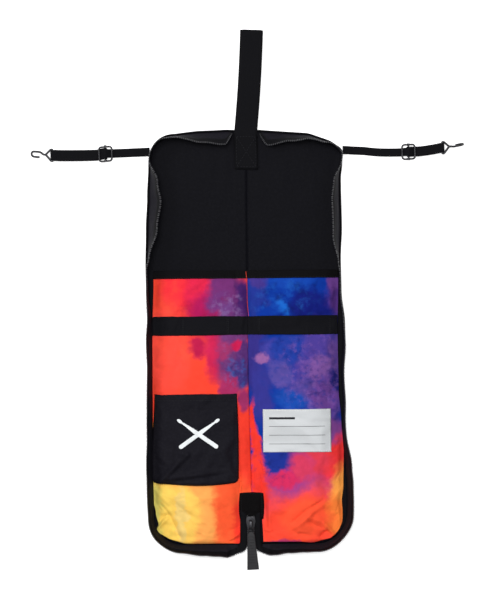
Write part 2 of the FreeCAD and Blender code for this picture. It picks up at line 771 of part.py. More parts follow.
def strap_loop(label, name):
    """The doubled webbing: round the hook's bar and back round the adjuster's bar."""
    body = strap_body(label, name)
    start = f"(dims.{name}_adjuster + dims.loop_start)"
    bar = f"dims.{name}_bar"
    slide = f"dims.{name}_adjuster"
    points = [(start, "dims.loop_low"), (bar, "dims.loop_low"),
              (f"{bar} + {BAR_RING}", BAR_HEIGHT, BAR_RING, 1),
              (bar, "dims.loop_high", BAR_RING, 1), (slide, "dims.loop_high"),
              (f"{slide} - {ADJUSTER_RING}", ADJUSTER_HEIGHT, ADJUSTER_RING, 1),
              (slide, f"{ADJUSTER_HEIGHT} - {ADJUSTER_RING}", ADJUSTER_RING, 1)]
    path = draw(body, "XZ_Plane", label + "_path", points, closed=False)
    half = "dims.strap_width / 2"
    thin = "dims.strap_thickness / 2"
    section = draw(body, "YZ_Plane", label + "_section",
                   rectangle(f"-{half}", half, f"dims.loop_low - {thin}", f"dims.loop_low + {thin}"),
                   offset=start)
    pipe(body, label + "_cloth", section, path)


def adjuster(label, name):
    """A wire slide adjuster: a rectangular frame with a bar across its middle."""
    body = strap_body(label, name)
    centre = f"dims.{name}_adjuster"
    near = f"{centre} - dims.adjuster_half_length"
    far = f"{centre} + dims.adjuster_half_length"
    half = "dims.adjuster_half_width"
    frame = draw(body, "XY_Plane", label + "_path",
                 [(far, "0"), (far, half), (near, half), (near, f"-{half}"), (far, f"-{half}")],
                 offset=ADJUSTER_HEIGHT)
    wire = draw_circle(body, "XZ_Plane", label + "_wire", far, ADJUSTER_HEIGHT,
                       "dims.adjuster_wire")
    pipe(body, label + "_frame", wire, frame)
    bar = draw_circle(body, "XZ_Plane", label + "_bar_end", centre, ADJUSTER_HEIGHT,
                      "dims.adjuster_wire")
    pad(body, label + "_bar", bar, f"2 * ({half} + dims.adjuster_wire)", both_ways=True)


def hook(label, name):
    """A bent wire hook: a triangle whose base is the bar, a neck and an open bend."""
    body = strap_body(label, name)
    bar = f"dims.{name}_bar"
    half = "dims.hook_half_bar"
    shoulder = f"{bar} + dims.hook_shoulder"
    triangle = draw(body, "XY_Plane", label + "_triangle_path",
                    [(bar, "0"), (bar, half), (shoulder, half), (f"{bar} + dims.hook_apex", "0"),
                     (shoulder, f"-{half}"), (bar, f"-{half}")],
                    offset=BAR_HEIGHT)
    wire = draw_circle(body, "XZ_Plane", label + "_wire", bar, BAR_HEIGHT, "dims.hook_wire")
    pipe(body, label + "_triangle", wire, triangle)
    bend = "dims.hook_bend"
    out = f"{bar} + dims.hook_bend_centre"
    points = [(f"{bar} + dims.hook_apex - dims.hook_wire", "0"),
              (f"{bar} + dims.hook_neck", "0"),
              (f"{bar} + dims.hook_shank", f"-{bend}"), (out, f"-{bend}"),
              (f"{out} + {bend}", "0", bend, 1), (out, bend, bend, 1),
              (f"{bar} + dims.hook_tip", bend)]
    path = draw(body, "XY_Plane", label + "_bend_path", points, closed=False,
                roll=f"dims.{name}_hook_roll")
    path.setExpression("AttachmentOffset.Base.z", BAR_HEIGHT)
    end = draw_circle(body, "YZ_Plane", label + "_bend_wire", "0", BAR_HEIGHT, "dims.hook_wire",
                      offset=f"{bar} + dims.hook_apex - dims.hook_wire")
    pipe(body, label + "_bend", end, path)


for name in SIDES:
    strap_webbing(f"{name}_strap_webbing", name)
    strap_loop(f"{name}_strap_loop", name)
    adjuster(f"{name}_adjuster", name)
    hook(f"{name}_hook", name)


# --- check every object, then write one file for each piece --------------------

doc.recompute()
pieces = [o for o in doc.Objects if o.TypeId in ("PartDesign::Body", "Part::Feature")]
faults = [o.Label for o in doc.Objects if {"Invalid", "Error"} & set(o.State)]
for piece in pieces:
    if piece.Shape.isNull() or not piece.Shape.isValid() or not piece.Shape.Solids:
        faults.append(piece.Label)
if faults:
    raise ValueError(f"these did not build: {faults}")

os.makedirs("parts", exist_ok=True)
for piece in pieces:
    piece.Shape.exportStep(f"parts/{piece.Label}.step")
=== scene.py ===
import math

import bmesh
import bpy
from mathutils import Matrix, Vector, noise
from mathutils.bvhtree import BVHTree


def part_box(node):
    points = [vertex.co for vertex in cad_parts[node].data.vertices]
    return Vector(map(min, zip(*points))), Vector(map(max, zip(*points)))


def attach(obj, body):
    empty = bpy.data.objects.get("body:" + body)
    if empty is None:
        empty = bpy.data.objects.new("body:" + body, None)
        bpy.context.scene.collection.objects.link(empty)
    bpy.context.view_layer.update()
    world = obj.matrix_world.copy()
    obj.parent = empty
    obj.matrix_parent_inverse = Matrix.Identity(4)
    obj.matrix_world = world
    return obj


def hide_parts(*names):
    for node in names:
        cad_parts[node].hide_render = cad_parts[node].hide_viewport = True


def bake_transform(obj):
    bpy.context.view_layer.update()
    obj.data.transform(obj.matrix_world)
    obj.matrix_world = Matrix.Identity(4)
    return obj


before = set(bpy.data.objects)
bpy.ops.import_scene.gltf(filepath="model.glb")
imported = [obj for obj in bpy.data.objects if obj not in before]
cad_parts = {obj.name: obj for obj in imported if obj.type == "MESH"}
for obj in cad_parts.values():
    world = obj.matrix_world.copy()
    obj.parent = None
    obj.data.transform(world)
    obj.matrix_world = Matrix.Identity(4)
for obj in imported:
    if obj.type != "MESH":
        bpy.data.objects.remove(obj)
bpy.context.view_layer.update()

# A drum stick bag lying open on its back. Lengths are metres; +Y is towards the handle.
# The visual pieces take their places from the CAD nodes, read here once.

MM = 0.001
SIDES = {"left": -1, "right": 1}
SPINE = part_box("spine_outer_panel")
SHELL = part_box("right_outer_panel")
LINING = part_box("right_lining")
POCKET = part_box("right_stick_pocket")
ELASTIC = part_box("spine_elastic_band")
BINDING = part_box("spine_pocket_binding")
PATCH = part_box("zipper_end_patch")
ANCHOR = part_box("handle_anchor")

FOLD = SPINE[1].x
EDGE = SHELL[1].x
END = SHELL[1].y
INSIDE = LINING[1].z
MOUTH = POCKET[1].y
POCKET_CREST = 14.2 * MM
CLOSING_ANGLE = math.radians(82.2)
TOP_DROP = 7 * MM
TOP_CORNER = 28 * MM
BOTTOM_CORNER = 33 * MM
SEAM_INSET = 1.5 * MM
SEAM_START = 2.2 * MM
GUSSET_DEPTH = 26 * MM
TAPE_WIDTH = 7 * MM
COIL = 2.2 * MM


# --- small helpers --------------------------------------------------------------


def mix(a, b, share):
    return a + (b - a) * share


def smooth(share):
    share = min(max(share, 0), 1)
    return share * share * (3 - 2 * share)


def quarter(share):
    """The height of a quarter circle, from 0 at share 0 to 1 at share 1."""
    left = 1 - min(max(share, 0), 1)
    return math.sqrt(1 - left * left)


def between(value, low, high):
    """0 below low, 1 above high and smooth in between."""
    return smooth((value - low) / (high - low))


def wobble(x, y, z, size):
    """Noise from -1 to 1 that changes over lengths of about size."""
    return noise.noise(Vector((x, y, z)) / size)


def new_object(name, mesh, material=None):
    piece = bpy.data.objects.new(name, mesh)
    bpy.context.scene.collection.objects.link(piece)
    if material:
        mesh.materials.append(material)
    for face in mesh.polygons:
        face.use_smooth = True
    return piece


def store_cloth(mesh, places=None):
    """Keeps each point's place on the flat cloth with the mesh, for its material."""
    places = places or [vertex.co for vertex in mesh.vertices]
    kept = mesh.attributes.new("cloth", "FLOAT_VECTOR", "POINT")
    kept.data.foreach_set("vector", [c for p in places for c in (p[0], p[1], p[2])])


def mesh_piece(name, points, faces, material=None, cloth=None, flip=False):
    """A piece from points and faces; cloth is each point's place on the flat cloth."""
    mesh = bpy.data.meshes.new(name)
    if flip:
        faces = [tuple(reversed(face)) for face in faces]
    mesh.from_pydata([tuple(p) for p in points], [], faces)
    mesh.update()
    store_cloth(mesh, cloth or points)
    return new_object(name, mesh, material)


def grid_faces(rows, columns, first=0):
    faces = []
    for row in range(rows - 1):
        for column in range(columns - 1):
            corner = first + row * columns + column
            faces.append((corner, corner + 1, corner + columns + 1, corner + columns))
    return faces


def ring_faces(first, rings, turns):
    """Faces round a run of rings with that many points each, closed at both ends."""
    faces = []
    for ring in range(rings - 1):
        for turn in range(turns):
            a = first + ring * turns + turn
            b = first + ring * turns + (turn + 1) % turns
            faces.append((a, b, b + turns, a + turns))
    faces.append(tuple(first + turn for turn in reversed(range(turns))))
    faces.append(tuple(first + (rings - 1) * turns + turn for turn in range(turns)))
    return faces


def sheet(name, rows, columns, place, material=None, cloth=None, flip=False):
    """A cloth sheet: place(s, t) gives the point at share s across and t along."""
    points = []
    flat = []
    for row in range(rows):
        for column in range(columns):
            s = column / (columns - 1)
            t = row / (rows - 1)
            point = place(s, t)
            points.append(point)
            flat.append(cloth(s, t) if cloth else (point.x, point.y, 0))
    return mesh_piece(name, points, grid_faces(rows, columns), material, flat, flip)


def thicken(piece, thickness, offset=-1):
    """Gives a sheet its thickness; offset 1 grows it along its normals, -1 against."""
    solid = piece.modifiers.new("thickness", "SOLIDIFY")
    solid.thickness = thickness
    solid.offset = offset
    solid.use_even_offset = False
    return piece


def tube(name, points, radius, material, closed=False, sides=12):
    """A round wire through points."""
    curve = bpy.data.curves.new(name, "CURVE")
    curve.dimensions = "3D"
    curve.bevel_depth = radius
    curve.bevel_resolution = sides // 4
    curve.use_fill_caps = True
    line = curve.splines.new("POLY")
    line.points.add(len(points) - 1)
    for spot, point in zip(line.points, points):
        spot.co = (*point, 1)
    line.use_cyclic_u = closed
    shape = bpy.data.objects.new(name, curve)
    bpy.context.scene.collection.objects.link(shape)
    mesh = bpy.data.meshes.new_from_object(shape.evaluated_get(
        bpy.context.evaluated_depsgraph_get()))
    bpy.data.objects.remove(shape)
    mesh.name = name
    mesh.materials.clear()
    store_cloth(mesh)
    return new_object(name, mesh, material)


def rounded(points, radius, closed=False, steps=6):
    """A path with its corners rounded to a radius."""
    points = [Vector(p) for p in points]
    count = len(points)
    path = []
    for i, corner in enumerate(points):
        if not closed and i in (0, count - 1):
            path.append(corner)
            continue
        back = points[i - 1] - corner
        ahead = points[(i + 1) % count] - corner
        turn = math.pi - back.angle(ahead)
        reach = min(radius * math.tan(turn / 2), back.length / 2, ahead.length / 2)
        start = corner + back.normalized() * reach
        end = corner + ahead.normalized() * reach
        for step in range(steps + 1):
            share = step / steps
            path.append(start.lerp(corner, share).lerp(corner.lerp(end, share), share))
    return path


def join(name, pieces):
    """One object from several, keeping their materials."""
    bpy.ops.object.select_all(action="DESELECT")
    for piece in pieces:
        piece.select_set(True)
    bpy.context.view_layer.objects.active = pieces[0]
    bpy.ops.object.join()
    joined = bpy.context.view_layer.objects.active
    joined.name = name
    joined.data.name = name
    return joined


def finished(piece, slot, *nodes, body=None):
    """Hides the CAD nodes that a piece stands for and attaches the piece to its body, if any. The slot
    is not used.
    """
    if body:
        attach(piece, body)
    if nodes:
        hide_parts(*nodes)
    return piece


# --- materials ------------------------------------------------------------------


def rgb(text, alpha=1.0):
    """A linear colour from a six-digit screen colour."""
    values = [int(text[i:i + 2], 16) / 255 for i in (0, 2, 4)]
    return tuple(v / 12.92 if v <= 0.04045 else ((v + 0.055) / 1.055) ** 2.4
                 for v in values) + (alpha,)


class Nodes:
    """Short names for building a node material."""

    def __init__(self, name):
        self.material = bpy.data.materials.new(name)
        self.material.use_nodes = True
        self.tree = self.material.node_tree
        self.surface = self.tree.nodes["Principled BSDF"]

    def add(self, kind, **settings):
        node = self.tree.nodes.new("ShaderNode" + kind)
        for key, setting in settings.items():
            setattr(node, key, setting)
        return node

    def link(self, source, target):
        self.tree.links.new(source, target)

    def cloth_place(self):
        return self.add("Attribute", attribute_name="cloth").outputs["Vector"]

    def object_place(self):
        return self.add("TexCoord").outputs["Object"]

    def feed(self, socket, value):
        """Sets a socket to a plain value or links it to an output; None leaves it alone."""
        if isinstance(value, (int, float, tuple)):
            socket.default_value = value
        elif value is not None:
            self.link(value, socket)

    def math(self, operation, a, b=None):
        node = self.add("Math", operation=operation)
        self.feed(node.inputs[0], a)
        self.feed(node.inputs[1], b)
        return node.outputs[0]

    def vector(self, operation, a, b=None):
        node = self.add("VectorMath", operation=operation)
        self.feed(node.inputs[0], a)
        self.feed(node.inputs[1], b)
        return node

    def noise(self, vector, scale, detail=3, roughness=0.5):
        node = self.add("TexNoise")
        node.inputs["Scale"].default_value = scale
        node.inputs["Detail"].default_value = detail
        node.inputs["Roughness"].default_value = roughness
        self.link(vector, node.inputs["Vector"])
        return node

    def blend(self, share, a, b, kind="MIX"):
        node = self.add("Mix", data_type="RGBA", blend_type=kind)
        # The mix node's sockets 6, 7 and 2 are its two colours and its mixed colour
        for number, value in ((0, share), (6, a), (7, b)):
            self.feed(node.inputs[number], value)
        return node.outputs[2]

    def ramp(self, value, low, high, to_low=0.0, to_high=1.0):
        node = self.add("MapRange", interpolation_type="SMOOTHSTEP")
        self.link(value, node.inputs["Value"])
        node.inputs["From Min"].default_value = low
        node.inputs["From Max"].default_value = high
        node.inputs["To Min"].default_value = to_low
        node.inputs["To Max"].default_value = to_high
        return node.outputs["Result"]

    def bump(self, height, strength, distance, before=None):
        node = self.add("Bump")
        node.inputs["Strength"].default_value = strength
        node.inputs["Distance"].default_value = distance
        self.link(height, node.inputs["Height"])
        if before:
            self.link(before, node.inputs["Normal"])
        return node.outputs["Normal"]

    def finish(self, colour, roughness, normal=None, metal=0.0, specular=0.5):
        for socket, value in (("Base Color", colour), ("Roughness", roughness),
                              ("Metallic", metal), ("Specular IOR Level", specular),
                              ("Normal", normal)):
            self.feed(self.surface.inputs[socket], value)
        return self.material


def threads(nodes, place, pitch, turn=0.0):
    """The height of a plain weave: two sets of fine threads crossing."""
    mapping = nodes.add("Mapping")
    mapping.inputs["Rotation"].default_value = (0, 0, turn)
    nodes.link(place, mapping.inputs["Vector"])
    waves = []
    for direction in ("X", "Y"):
        wave = nodes.add("TexWave", wave_type="BANDS", bands_direction=direction)
        wave.inputs["Scale"].default_value = 1 / (pitch * 6.3)
        wave.inputs["Distortion"].default_value = 0.6
        wave.inputs["Detail"].default_value = 1
        nodes.link(mapping.outputs["Vector"], wave.inputs["Vector"])
        waves.append(wave.outputs["Fac"])
    return nodes.math("MULTIPLY", waves[0], waves[1])


def spot_share(nodes, moved, x, y, wide, tall):
    """1 inside a soft-edged oval of the cloth and 0 outside; sizes in millimetres."""
    from_centre = nodes.vector("SUBTRACT", moved, (x * MM, y * MM, 0)).outputs[0]
    scaled = nodes.vector("MULTIPLY", from_centre, (1 / (wide * MM), 1 / (tall * MM), 0))
    distance = nodes.vector("LENGTH", scaled.outputs[0]).outputs["Value"]
    return nodes.ramp(distance, 0.55, 1.15, 1.0, 0.0)


def shifted(nodes, place, size, reach):
    """The place moved about by noise, so that a spot's edge runs like dye in wet cloth."""
    drift = nodes.noise(place, 1 / size, 4, 0.6)
    centred = nodes.vector("SUBTRACT", drift.outputs["Color"], (0.5, 0.5, 0.5)).outputs[0]
    return nodes.vector("MULTIPLY", centred, (reach, reach, 0)).outputs[0]


def dyed(name, base, spots, flecks=()):
    """Tie-dyed cloth: soft spots laid over each other, each (x, y, wide, tall, colour).

    A fleck is (x, y, wide, tall, grain, amount, colour): small drops of dye in that oval.
    """
    nodes = Nodes(name)
    place = nodes.cloth_place()
    far = nodes.vector("ADD", place, shifted(nodes, place, 0.045, 0.030)).outputs[0]
    moved = nodes.vector("ADD", far, shifted(nodes, place, 0.010, 0.012)).outputs[0]
    colour = rgb(base)
    for x, y, wide, tall, shade in spots:
        share = spot_share(nodes, moved, x, y, wide, tall)
        colour = nodes.blend(share, colour, rgb(shade))
    for number, (x, y, wide, tall, grain, amount, shade) in enumerate(flecks):
        apart = nodes.vector("ADD", place, (0.31 * number, 0.17 * number, 0.4)).outputs[0]
        drops = nodes.noise(apart, 1 / (grain * MM), 5, 0.62)
        inside = spot_share(nodes, moved, x, y, wide, tall)
        wet = nodes.ramp(drops.outputs["Fac"], 0.46, 0.72, 0.0, amount)
        colour = nodes.blend(nodes.math("MULTIPLY", inside, wet), colour, rgb(shade))
    mottle = nodes.noise(place, 1 / 0.009, 5, 0.6)
    lighter = nodes.ramp(mottle.outputs["Fac"], 0.35, 0.7, 0.95, 1.04)
    grey = nodes.add("CombineColor")
    for channel in ("Red", "Green", "Blue"):
        nodes.link(lighter, grey.inputs[channel])
    colour = nodes.blend(1.0, colour, grey.outputs["Color"], "MULTIPLY")
    normal = nodes.bump(threads(nodes, place, 0.55 * MM), 0.12, 0.00015)
    creases = nodes.noise(place, 1 / 0.012, 5, 0.6)
    normal = nodes.bump(creases.outputs["Fac"], 0.1, 0.001, normal)
    return nodes.finish(colour, 0.8, normal, specular=0.06)


def black_cloth(name, shade, weave=0.6 * MM, rough=0.7, creases=0.25, turn=0.0,
                crease_size=0.014):
    nodes = Nodes(name)
    place = nodes.cloth_place()
    height = threads(nodes, place, weave, turn)
    normal = nodes.bump(height, 0.35, 0.0002)
    soft = nodes.noise(place, 1 / crease_size, 5, 0.6)
    normal = nodes.bump(soft.outputs["Fac"], creases, 0.0015, normal)
    dust = nodes.noise(place, 1 / 0.003, 4, 0.7)
    share = nodes.ramp(dust.outputs["Fac"], 0.4, 0.75, 0.0, 0.35)
    base = rgb(shade)
    worn = tuple(min(c * 1.9 + 0.002, 1) for c in base[:3]) + (1.0,)
    colour = nodes.blend(share, base, worn)
    return nodes.finish(colour, rough, normal, specular=0.045)


def webbing_cloth(name, shade="19191b", pitch=1.5 * MM):
    """Ribbed webbing: lengthwise ribs crossed by fine picks. cloth.x runs across it."""
    nodes = Nodes(name)
    place = nodes.cloth_place()
    split = nodes.add("SeparateXYZ")
    nodes.link(place, split.inputs[0])
    rib_phase = nodes.math("MULTIPLY", split.outputs["X"], 2 * math.pi / pitch)
    ribs = nodes.math("ABSOLUTE", nodes.math("SINE", rib_phase))
    pick_phase = nodes.math("MULTIPLY", split.outputs["Y"], 2 * math.pi / (0.9 * MM))
    picks = nodes.math("ABSOLUTE", nodes.math("SINE", nodes.math("ADD", pick_phase, rib_phase)))
    height = nodes.math("ADD", ribs, nodes.math("MULTIPLY", picks, 0.6))
    normal = nodes.bump(height, 0.5, 0.0003)
    base = rgb(shade)
    lit = tuple(min(c * 1.8 + 0.003, 1) for c in base[:3]) + (1.0,)
    colour = nodes.blend(nodes.math("MULTIPLY", ribs, 0.5), base, lit)
    return nodes.finish(colour, 0.75, normal, specular=0.045)


def coated_metal(name, shade="2a2a2d"):
    nodes = Nodes(name)
    place = nodes.object_place()
    scuffs = nodes.noise(place, 900, 4, 0.7)
    roughness = nodes.ramp(scuffs.outputs["Fac"], 0.35, 0.7, 0.28, 0.5)
    normal = nodes.bump(scuffs.outputs["Fac"], 0.05, 0.0001)
    wear = nodes.ramp(scuffs.outputs["Fac"], 0.62, 0.72, 0.0, 0.5)
    colour = nodes.blend(wear, rgb(shade), rgb("6b6b70"))
    return nodes.finish(colour, roughness, normal, metal=0.75)


def rubber(name, shade="3a393e"):
    nodes = Nodes(name)
    place = nodes.object_place()
    grain = nodes.noise(place, 2500, 3, 0.6)
    normal = nodes.bump(grain.outputs["Fac"], 0.2, 0.0001)
    return nodes.finish(rgb(shade), 0.62, normal, specular=0.4)


def nylon(name, shade="141416"):
    nodes = Nodes(name)
    place = nodes.object_place()
    grain = nodes.noise(place, 1800, 2)
    roughness = nodes.ramp(grain.outputs["Fac"], 0.3, 0.7, 0.32, 0.5)
    return nodes.finish(rgb(shade), roughness, specular=0.55)


def paper(name):
    nodes = Nodes(name)
    place = nodes.cloth_place()
    grain = nodes.noise(place, 1 / 0.0006, 3, 0.6)
    normal = nodes.bump(grain.outputs["Fac"], 0.12, 0.0001)
    tone = nodes.ramp(grain.outputs["Fac"], 0.2, 0.8, 0.0, 1.0)
    colour = nodes.blend(tone, rgb("bec1c4"), rgb("cdd0d2"))
    return nodes.finish(colour, 0.6, normal, specular=0.3)


def plain(name, shade, rough=0.7, specular=0.15):
    return Nodes(name).finish(rgb(shade), rough, specular=specular)


FLOOR_GLOW = 0.62


def backdrop(name):
    """A pale floor that also glows a little, as a backlit studio table does."""
    nodes = Nodes(name)
    nodes.surface.inputs["Emission Color"].default_value = (1, 1, 1, 1)
    nodes.surface.inputs["Emission Strength"].default_value = FLOOR_GLOW
    return nodes.finish(rgb("ececec"), 0.9, specular=0.1)


# --- the outline of a half, worked out on the right and mirrored for the left ------

TOP_SLOPE = math.atan2(TOP_DROP, EDGE - FOLD)
TOP_REACH = TOP_CORNER * math.tan((math.pi / 2 - TOP_SLOPE) / 2)
TOP_CENTRE = Vector((EDGE - TOP_CORNER, END - TOP_DROP - TOP_REACH, 0))
LOW_CENTRE = Vector((EDGE - BOTTOM_CORNER, BOTTOM_CORNER - END, 0))


def top_edge(x, inset):
    radius = TOP_CORNER - inset
    if x > TOP_CENTRE.x + radius * math.sin(TOP_SLOPE):
        across = min(x - TOP_CENTRE.x, radius)
        return TOP_CENTRE.y + math.sqrt(radius**2 - across**2)
    return END - inset / math.cos(TOP_SLOPE) - max(x - FOLD, 0) * math.tan(TOP_SLOPE)


def bottom_edge(x, inset):
    radius = BOTTOM_CORNER - inset
    across = min(max(x - LOW_CENTRE.x, 0), radius)
    return LOW_CENTRE.y - math.sqrt(radius**2 - across**2)


def outward(x, y):
    """The level direction out of the bag at a point near the edge of the right half."""
    turn = 0
    if y > TOP_CENTRE.y:
        turn = math.atan2(y - TOP_CENTRE.y, max(x - TOP_CENTRE.x, 0))
        turn = min(turn, math.pi / 2 - TOP_SLOPE * between(x, 0, 2 * FOLD))
    elif y < LOW_CENTRE.y:
        turn = math.atan2(y - LOW_CENTRE.y, max(x - LOW_CENTRE.x, 0))
    return Vector((math.cos(turn), math.sin(turn), 0))


def spread(share, reach):
    """Columns across a half, closer together towards its round outer corners."""
    return reach * (0.5 * share + 0.5 * math.sin(share * math.pi / 2))


# How far right of the middle line the pockets' low middle and the zipper's pull lie.
MIDDLE_STRAY = 2.2 * MM
PULL_STRAY = 1.1 * MM

# How far the photographed bag strays from its pattern: the sides by height up the bag
# (outwards if positive), the top by the distance from the middle. All in millimetres.
SIDE_PULL = {
    -1: [(-20, 0), (15, 0), (51, 3.9), (80, 4.2), (121, 3.3), (156, 1.6), (191, 0)],
    1: [(-225, 0), (-178, 2.5), (-160, 2.2), (-143, 0.9), (-108, -2.2), (-73, -0.8),
        (-37, -2.8), (-2, -0.5), (15, -0.8), (51, -4.4), (86, -4.9), (121, -3.3),
        (174, -4.0), (191, -2.4), (206, 0)],
}
TOP_PULL = {
    -1: [(10, 0), (25, 1.3), (55, 2.3), (80, 1.4), (95, 1.6), (110, 0)],
    1: [(10, 0), (65, 0), (88, -4.6), (97, -4.6), (108, 0)],
}


def stepped(stops, value):
    """The height at a value along a list of (value, height) stops."""
    if value <= stops[0][0]:
        return stops[0][1]
    for (before, first), (after, last) in zip(stops, stops[1:]):
        if value <= after:
            return mix(first, last, smooth((value - before) / (after - before)))
    return stops[-1][1]


def on_side(point, side):
    """A point of the right half moved to its side, with the photographed bag's stray."""
    outer = min(abs(point.x) / EDGE, 1.2) ** 3
    upper = between(point.y, 150 * MM, 222 * MM)
    x = point.x + stepped(SIDE_PULL[side], point.y / MM) * MM * outer
    y = point.y + stepped(TOP_PULL[side], point.x / MM) * MM * upper
    return Vector((x * side, y, point.z))


def moved_over(piece, reach):
    """Moves the low middle of a piece to the right, as the photographed bag lies."""
    for vertex in piece.data.vertices:
        x, y, _ = vertex.co
        low = between(-y, 30 * MM, 170 * MM)
        vertex.co.x += reach * low * (1 - min(abs(x) / EDGE, 1) ** 2)


def hinged(piece, name):
    """Bakes into its mesh the transform of a piece that starts at the middle of the spine."""
    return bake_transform(piece)


def hinged_piece(piece, name, slot, parts=(), spine_parts=()):
    """Finishes a half's piece: bakes its transform and hides the CAD nodes it stands for. The right one
    covers the spine too.
    """
    hinged(piece, name)
    nodes = [f"{name}_{part}" for part in parts]
    if name == "right":
        nodes += [f"spine_{part}" for part in spine_parts]
    return finished(piece, slot, *nodes)


# --- padded shell and lining --------------------------------------------------------

ROLL = 2.6 * MM
ROLL_RINGS = 9
SHELL_CLOTH = 0.8 * MM
LINING_CLOTH = 0.4 * MM


def shell_half(name, material, rim_material):
    """The outer cloth: a flat back, and a black edge that rolls up to the gusset's seam."""
    side = SIDES[name]
    columns, rows = 46, 120
    points = []
    for row in range(rows):
        for column in range(columns):
            x = spread(column / (columns - 1), EDGE - ROLL)
            y = mix(bottom_edge(x, ROLL), top_edge(x, ROLL), row / (rows - 1))
            inner = between(EDGE - ROLL - x, 0, 12 * MM) * between(END - abs(y), 0, 12 * MM)
            dimple = 0.35 * MM * (1 + wobble(side * x, y, 3, 30 * MM)) * inner
            points.append(Vector((x, y, dimple)))
    faces = grid_faces(rows, columns)
    back_faces = len(faces)
    edge = [(rows - 1) * columns + column for column in range(columns)]
    edge += [row * columns + columns - 1 for row in range(rows - 2, -1, -1)]
    edge += list(range(columns - 2, -1, -1))
    flat = [Vector((side * p.x, p.y, 0)) for p in points]
    before = edge
    for ring in range(1, ROLL_RINGS + 1):
        turn = math.radians(-90 + 150 * ring / ROLL_RINGS)
        first = len(points)
        for index in edge:
            base = points[index]
            out = outward(base.x, base.y)
            place = base + out * (ROLL * math.cos(turn))
            place.z = ROLL * (1 + math.sin(turn))
            points.append(place)
            along = out * (ROLL * math.radians(90 + math.degrees(turn)))
            flat.append(Vector((side * (base.x + along.x), base.y + along.y, 0)))
        ring_now = list(range(first, first + len(edge)))
        for i in range(len(edge) - 1):
            faces.append((before[i + 1], before[i], ring_now[i], ring_now[i + 1]))
        before = ring_now
    points = [on_side(p, side) for p in points]
    shell = mesh_piece(f"{name}_shell", points, faces, material, flat, flip=side > 0)
    shell.data.materials.append(rim_material)
    for polygon in shell.data.polygons[back_faces:]:
        polygon.material_index = 1
    thicken(shell, SHELL_CLOTH)
    hinged_piece(shell, name, "shell_fabric", ("outer_panel", "padding"),
                 ("outer_panel", "padding"))


def lining_half(name, material):
    """The black inside: slack within the bag and turned up at its rim."""
    side = SIDES[name]
    inset = 1.7 * MM

    def place(s, t):
        x = spread(s, EDGE - inset)
        y = mix(bottom_edge(x, inset), top_edge(x, inset), t)
        rim = 1 - between(min(EDGE - x, top_edge(x, 0) - y, y - bottom_edge(x, 0)),
                          inset, 8 * MM)
        soft = 0.35 * MM * wobble(side * x, y, 7, 26 * MM)
        pulled = 0.5 * MM * wobble(side * x, y * 0.25, 9, 9 * MM) * between(y, 60 * MM, END)
        lift = max(soft + pulled, -0.3 * MM)
        turned_up = 0.9 * MM * between(y, MOUTH, MOUTH + 12 * MM)
        return on_side(Vector((x, y, INSIDE + lift * (1 - rim) + turned_up * rim)), side)

    lining = sheet(f"{name}_inside", 150, 46, place, material, flip=side < 0)
    thicken(lining, LINING_CLOTH)
    hinged_piece(lining, name, "lining", ("lining",), ("lining",))


# --- gusset, zipper tape and coil ---------------------------------------------------
# The free edge is walked from the top of the fold (0) along the top edge (to 1), round
# the top corner (to 2), down the side (to 3), round the bottom corner (to 4) and along
# the bottom edge to the fold (5). From there the zipper turns in (to 6) and runs
# straight up beside the slider (to 7).

# How far the zipper leans over its seam in millimetres, outwards if positive.
LEAN = {
    "left": [(0, -8), (0.15, -16), (0.5, -12), (1, -3), (1.5, 0), (2, 0), (2.06, -9),
             (2.12, -13), (2.19, -11), (2.27, -3), (2.31, 0), (2.5, 4.5), (2.9, 6),
             (3, 4.4), (3.5, 6), (4, 8.3), (4.4, 11), (4.67, 12), (4.82, 13.4),
             (4.93, 12.8), (5, 10.8)],
    "right": [(0, -8), (0.15, -15), (0.5, -9), (1, -4), (1.5, 0), (2, 0), (2.06, -8),
              (2.12, -11), (2.21, -10), (2.29, -2), (2.33, 0), (2.7, 1), (2.85, 5),
              (3, 6), (3.5, 4.3), (4, 6.1), (4.23, 7.2), (4.5, 8.9), (4.78, 11.4),
              (4.92, 12), (5, 10.2)],
}
HEADROOM = 1.7 * MM
NOTCH_WIDTH = 7.5 * MM
NOTCH_HEIGHT = 5.4 * MM
NOTCH_SLOPE = 1.6
SEAM_LIFT = 0.5 * MM
WEB_COLUMNS = 12
END_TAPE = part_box("zipper_end_tape_right")
END_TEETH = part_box("zipper_end_teeth_right")
TEETH_LINE = (END_TEETH[0].x + END_TEETH[1].x) / 2
END_HEIGHT = (END_TEETH[0].z + END_TEETH[1].z) / 2


def edge_point(walked):
    """A point of the gusset's seam and the level direction that points out of the bag."""
    near = FOLD + SEAM_START
    far = EDGE - SEAM_INSET
    top_radius = TOP_CORNER - SEAM_INSET
    low_radius = BOTTOM_CORNER - SEAM_INSET
    part = walked - min(int(walked), 4)
    if walked < 1:
        turn = math.pi / 2 - TOP_SLOPE
        end = TOP_CENTRE.x + top_radius * math.cos(turn)
        x = mix(near, end, part)
        return Vector((x, top_edge(x, SEAM_INSET), 0)), direction(turn)
    if walked < 2:
        turn = (math.pi / 2 - TOP_SLOPE) * (1 - part)
        return TOP_CENTRE + direction(turn) * top_radius, direction(turn)
    if walked < 3:
        return Vector((far, mix(TOP_CENTRE.y, LOW_CENTRE.y, part), 0)), direction(0)
    if walked < 4:
        turn = -math.pi / 2 * part
        return LOW_CENTRE + direction(turn) * low_radius, direction(turn)
    x = mix(LOW_CENTRE.x, near, part)
    return Vector((x, SEAM_INSET - END, 0)), direction(-math.pi / 2)


def direction(turn):
    return Vector((math.cos(turn), math.sin(turn), 0))


def headroom(from_fold):
    """The height above the fold at which the two closed halves meet."""
    return (FOLD + from_fold * math.cos(CLOSING_ANGLE)) / math.sin(CLOSING_ANGLE)


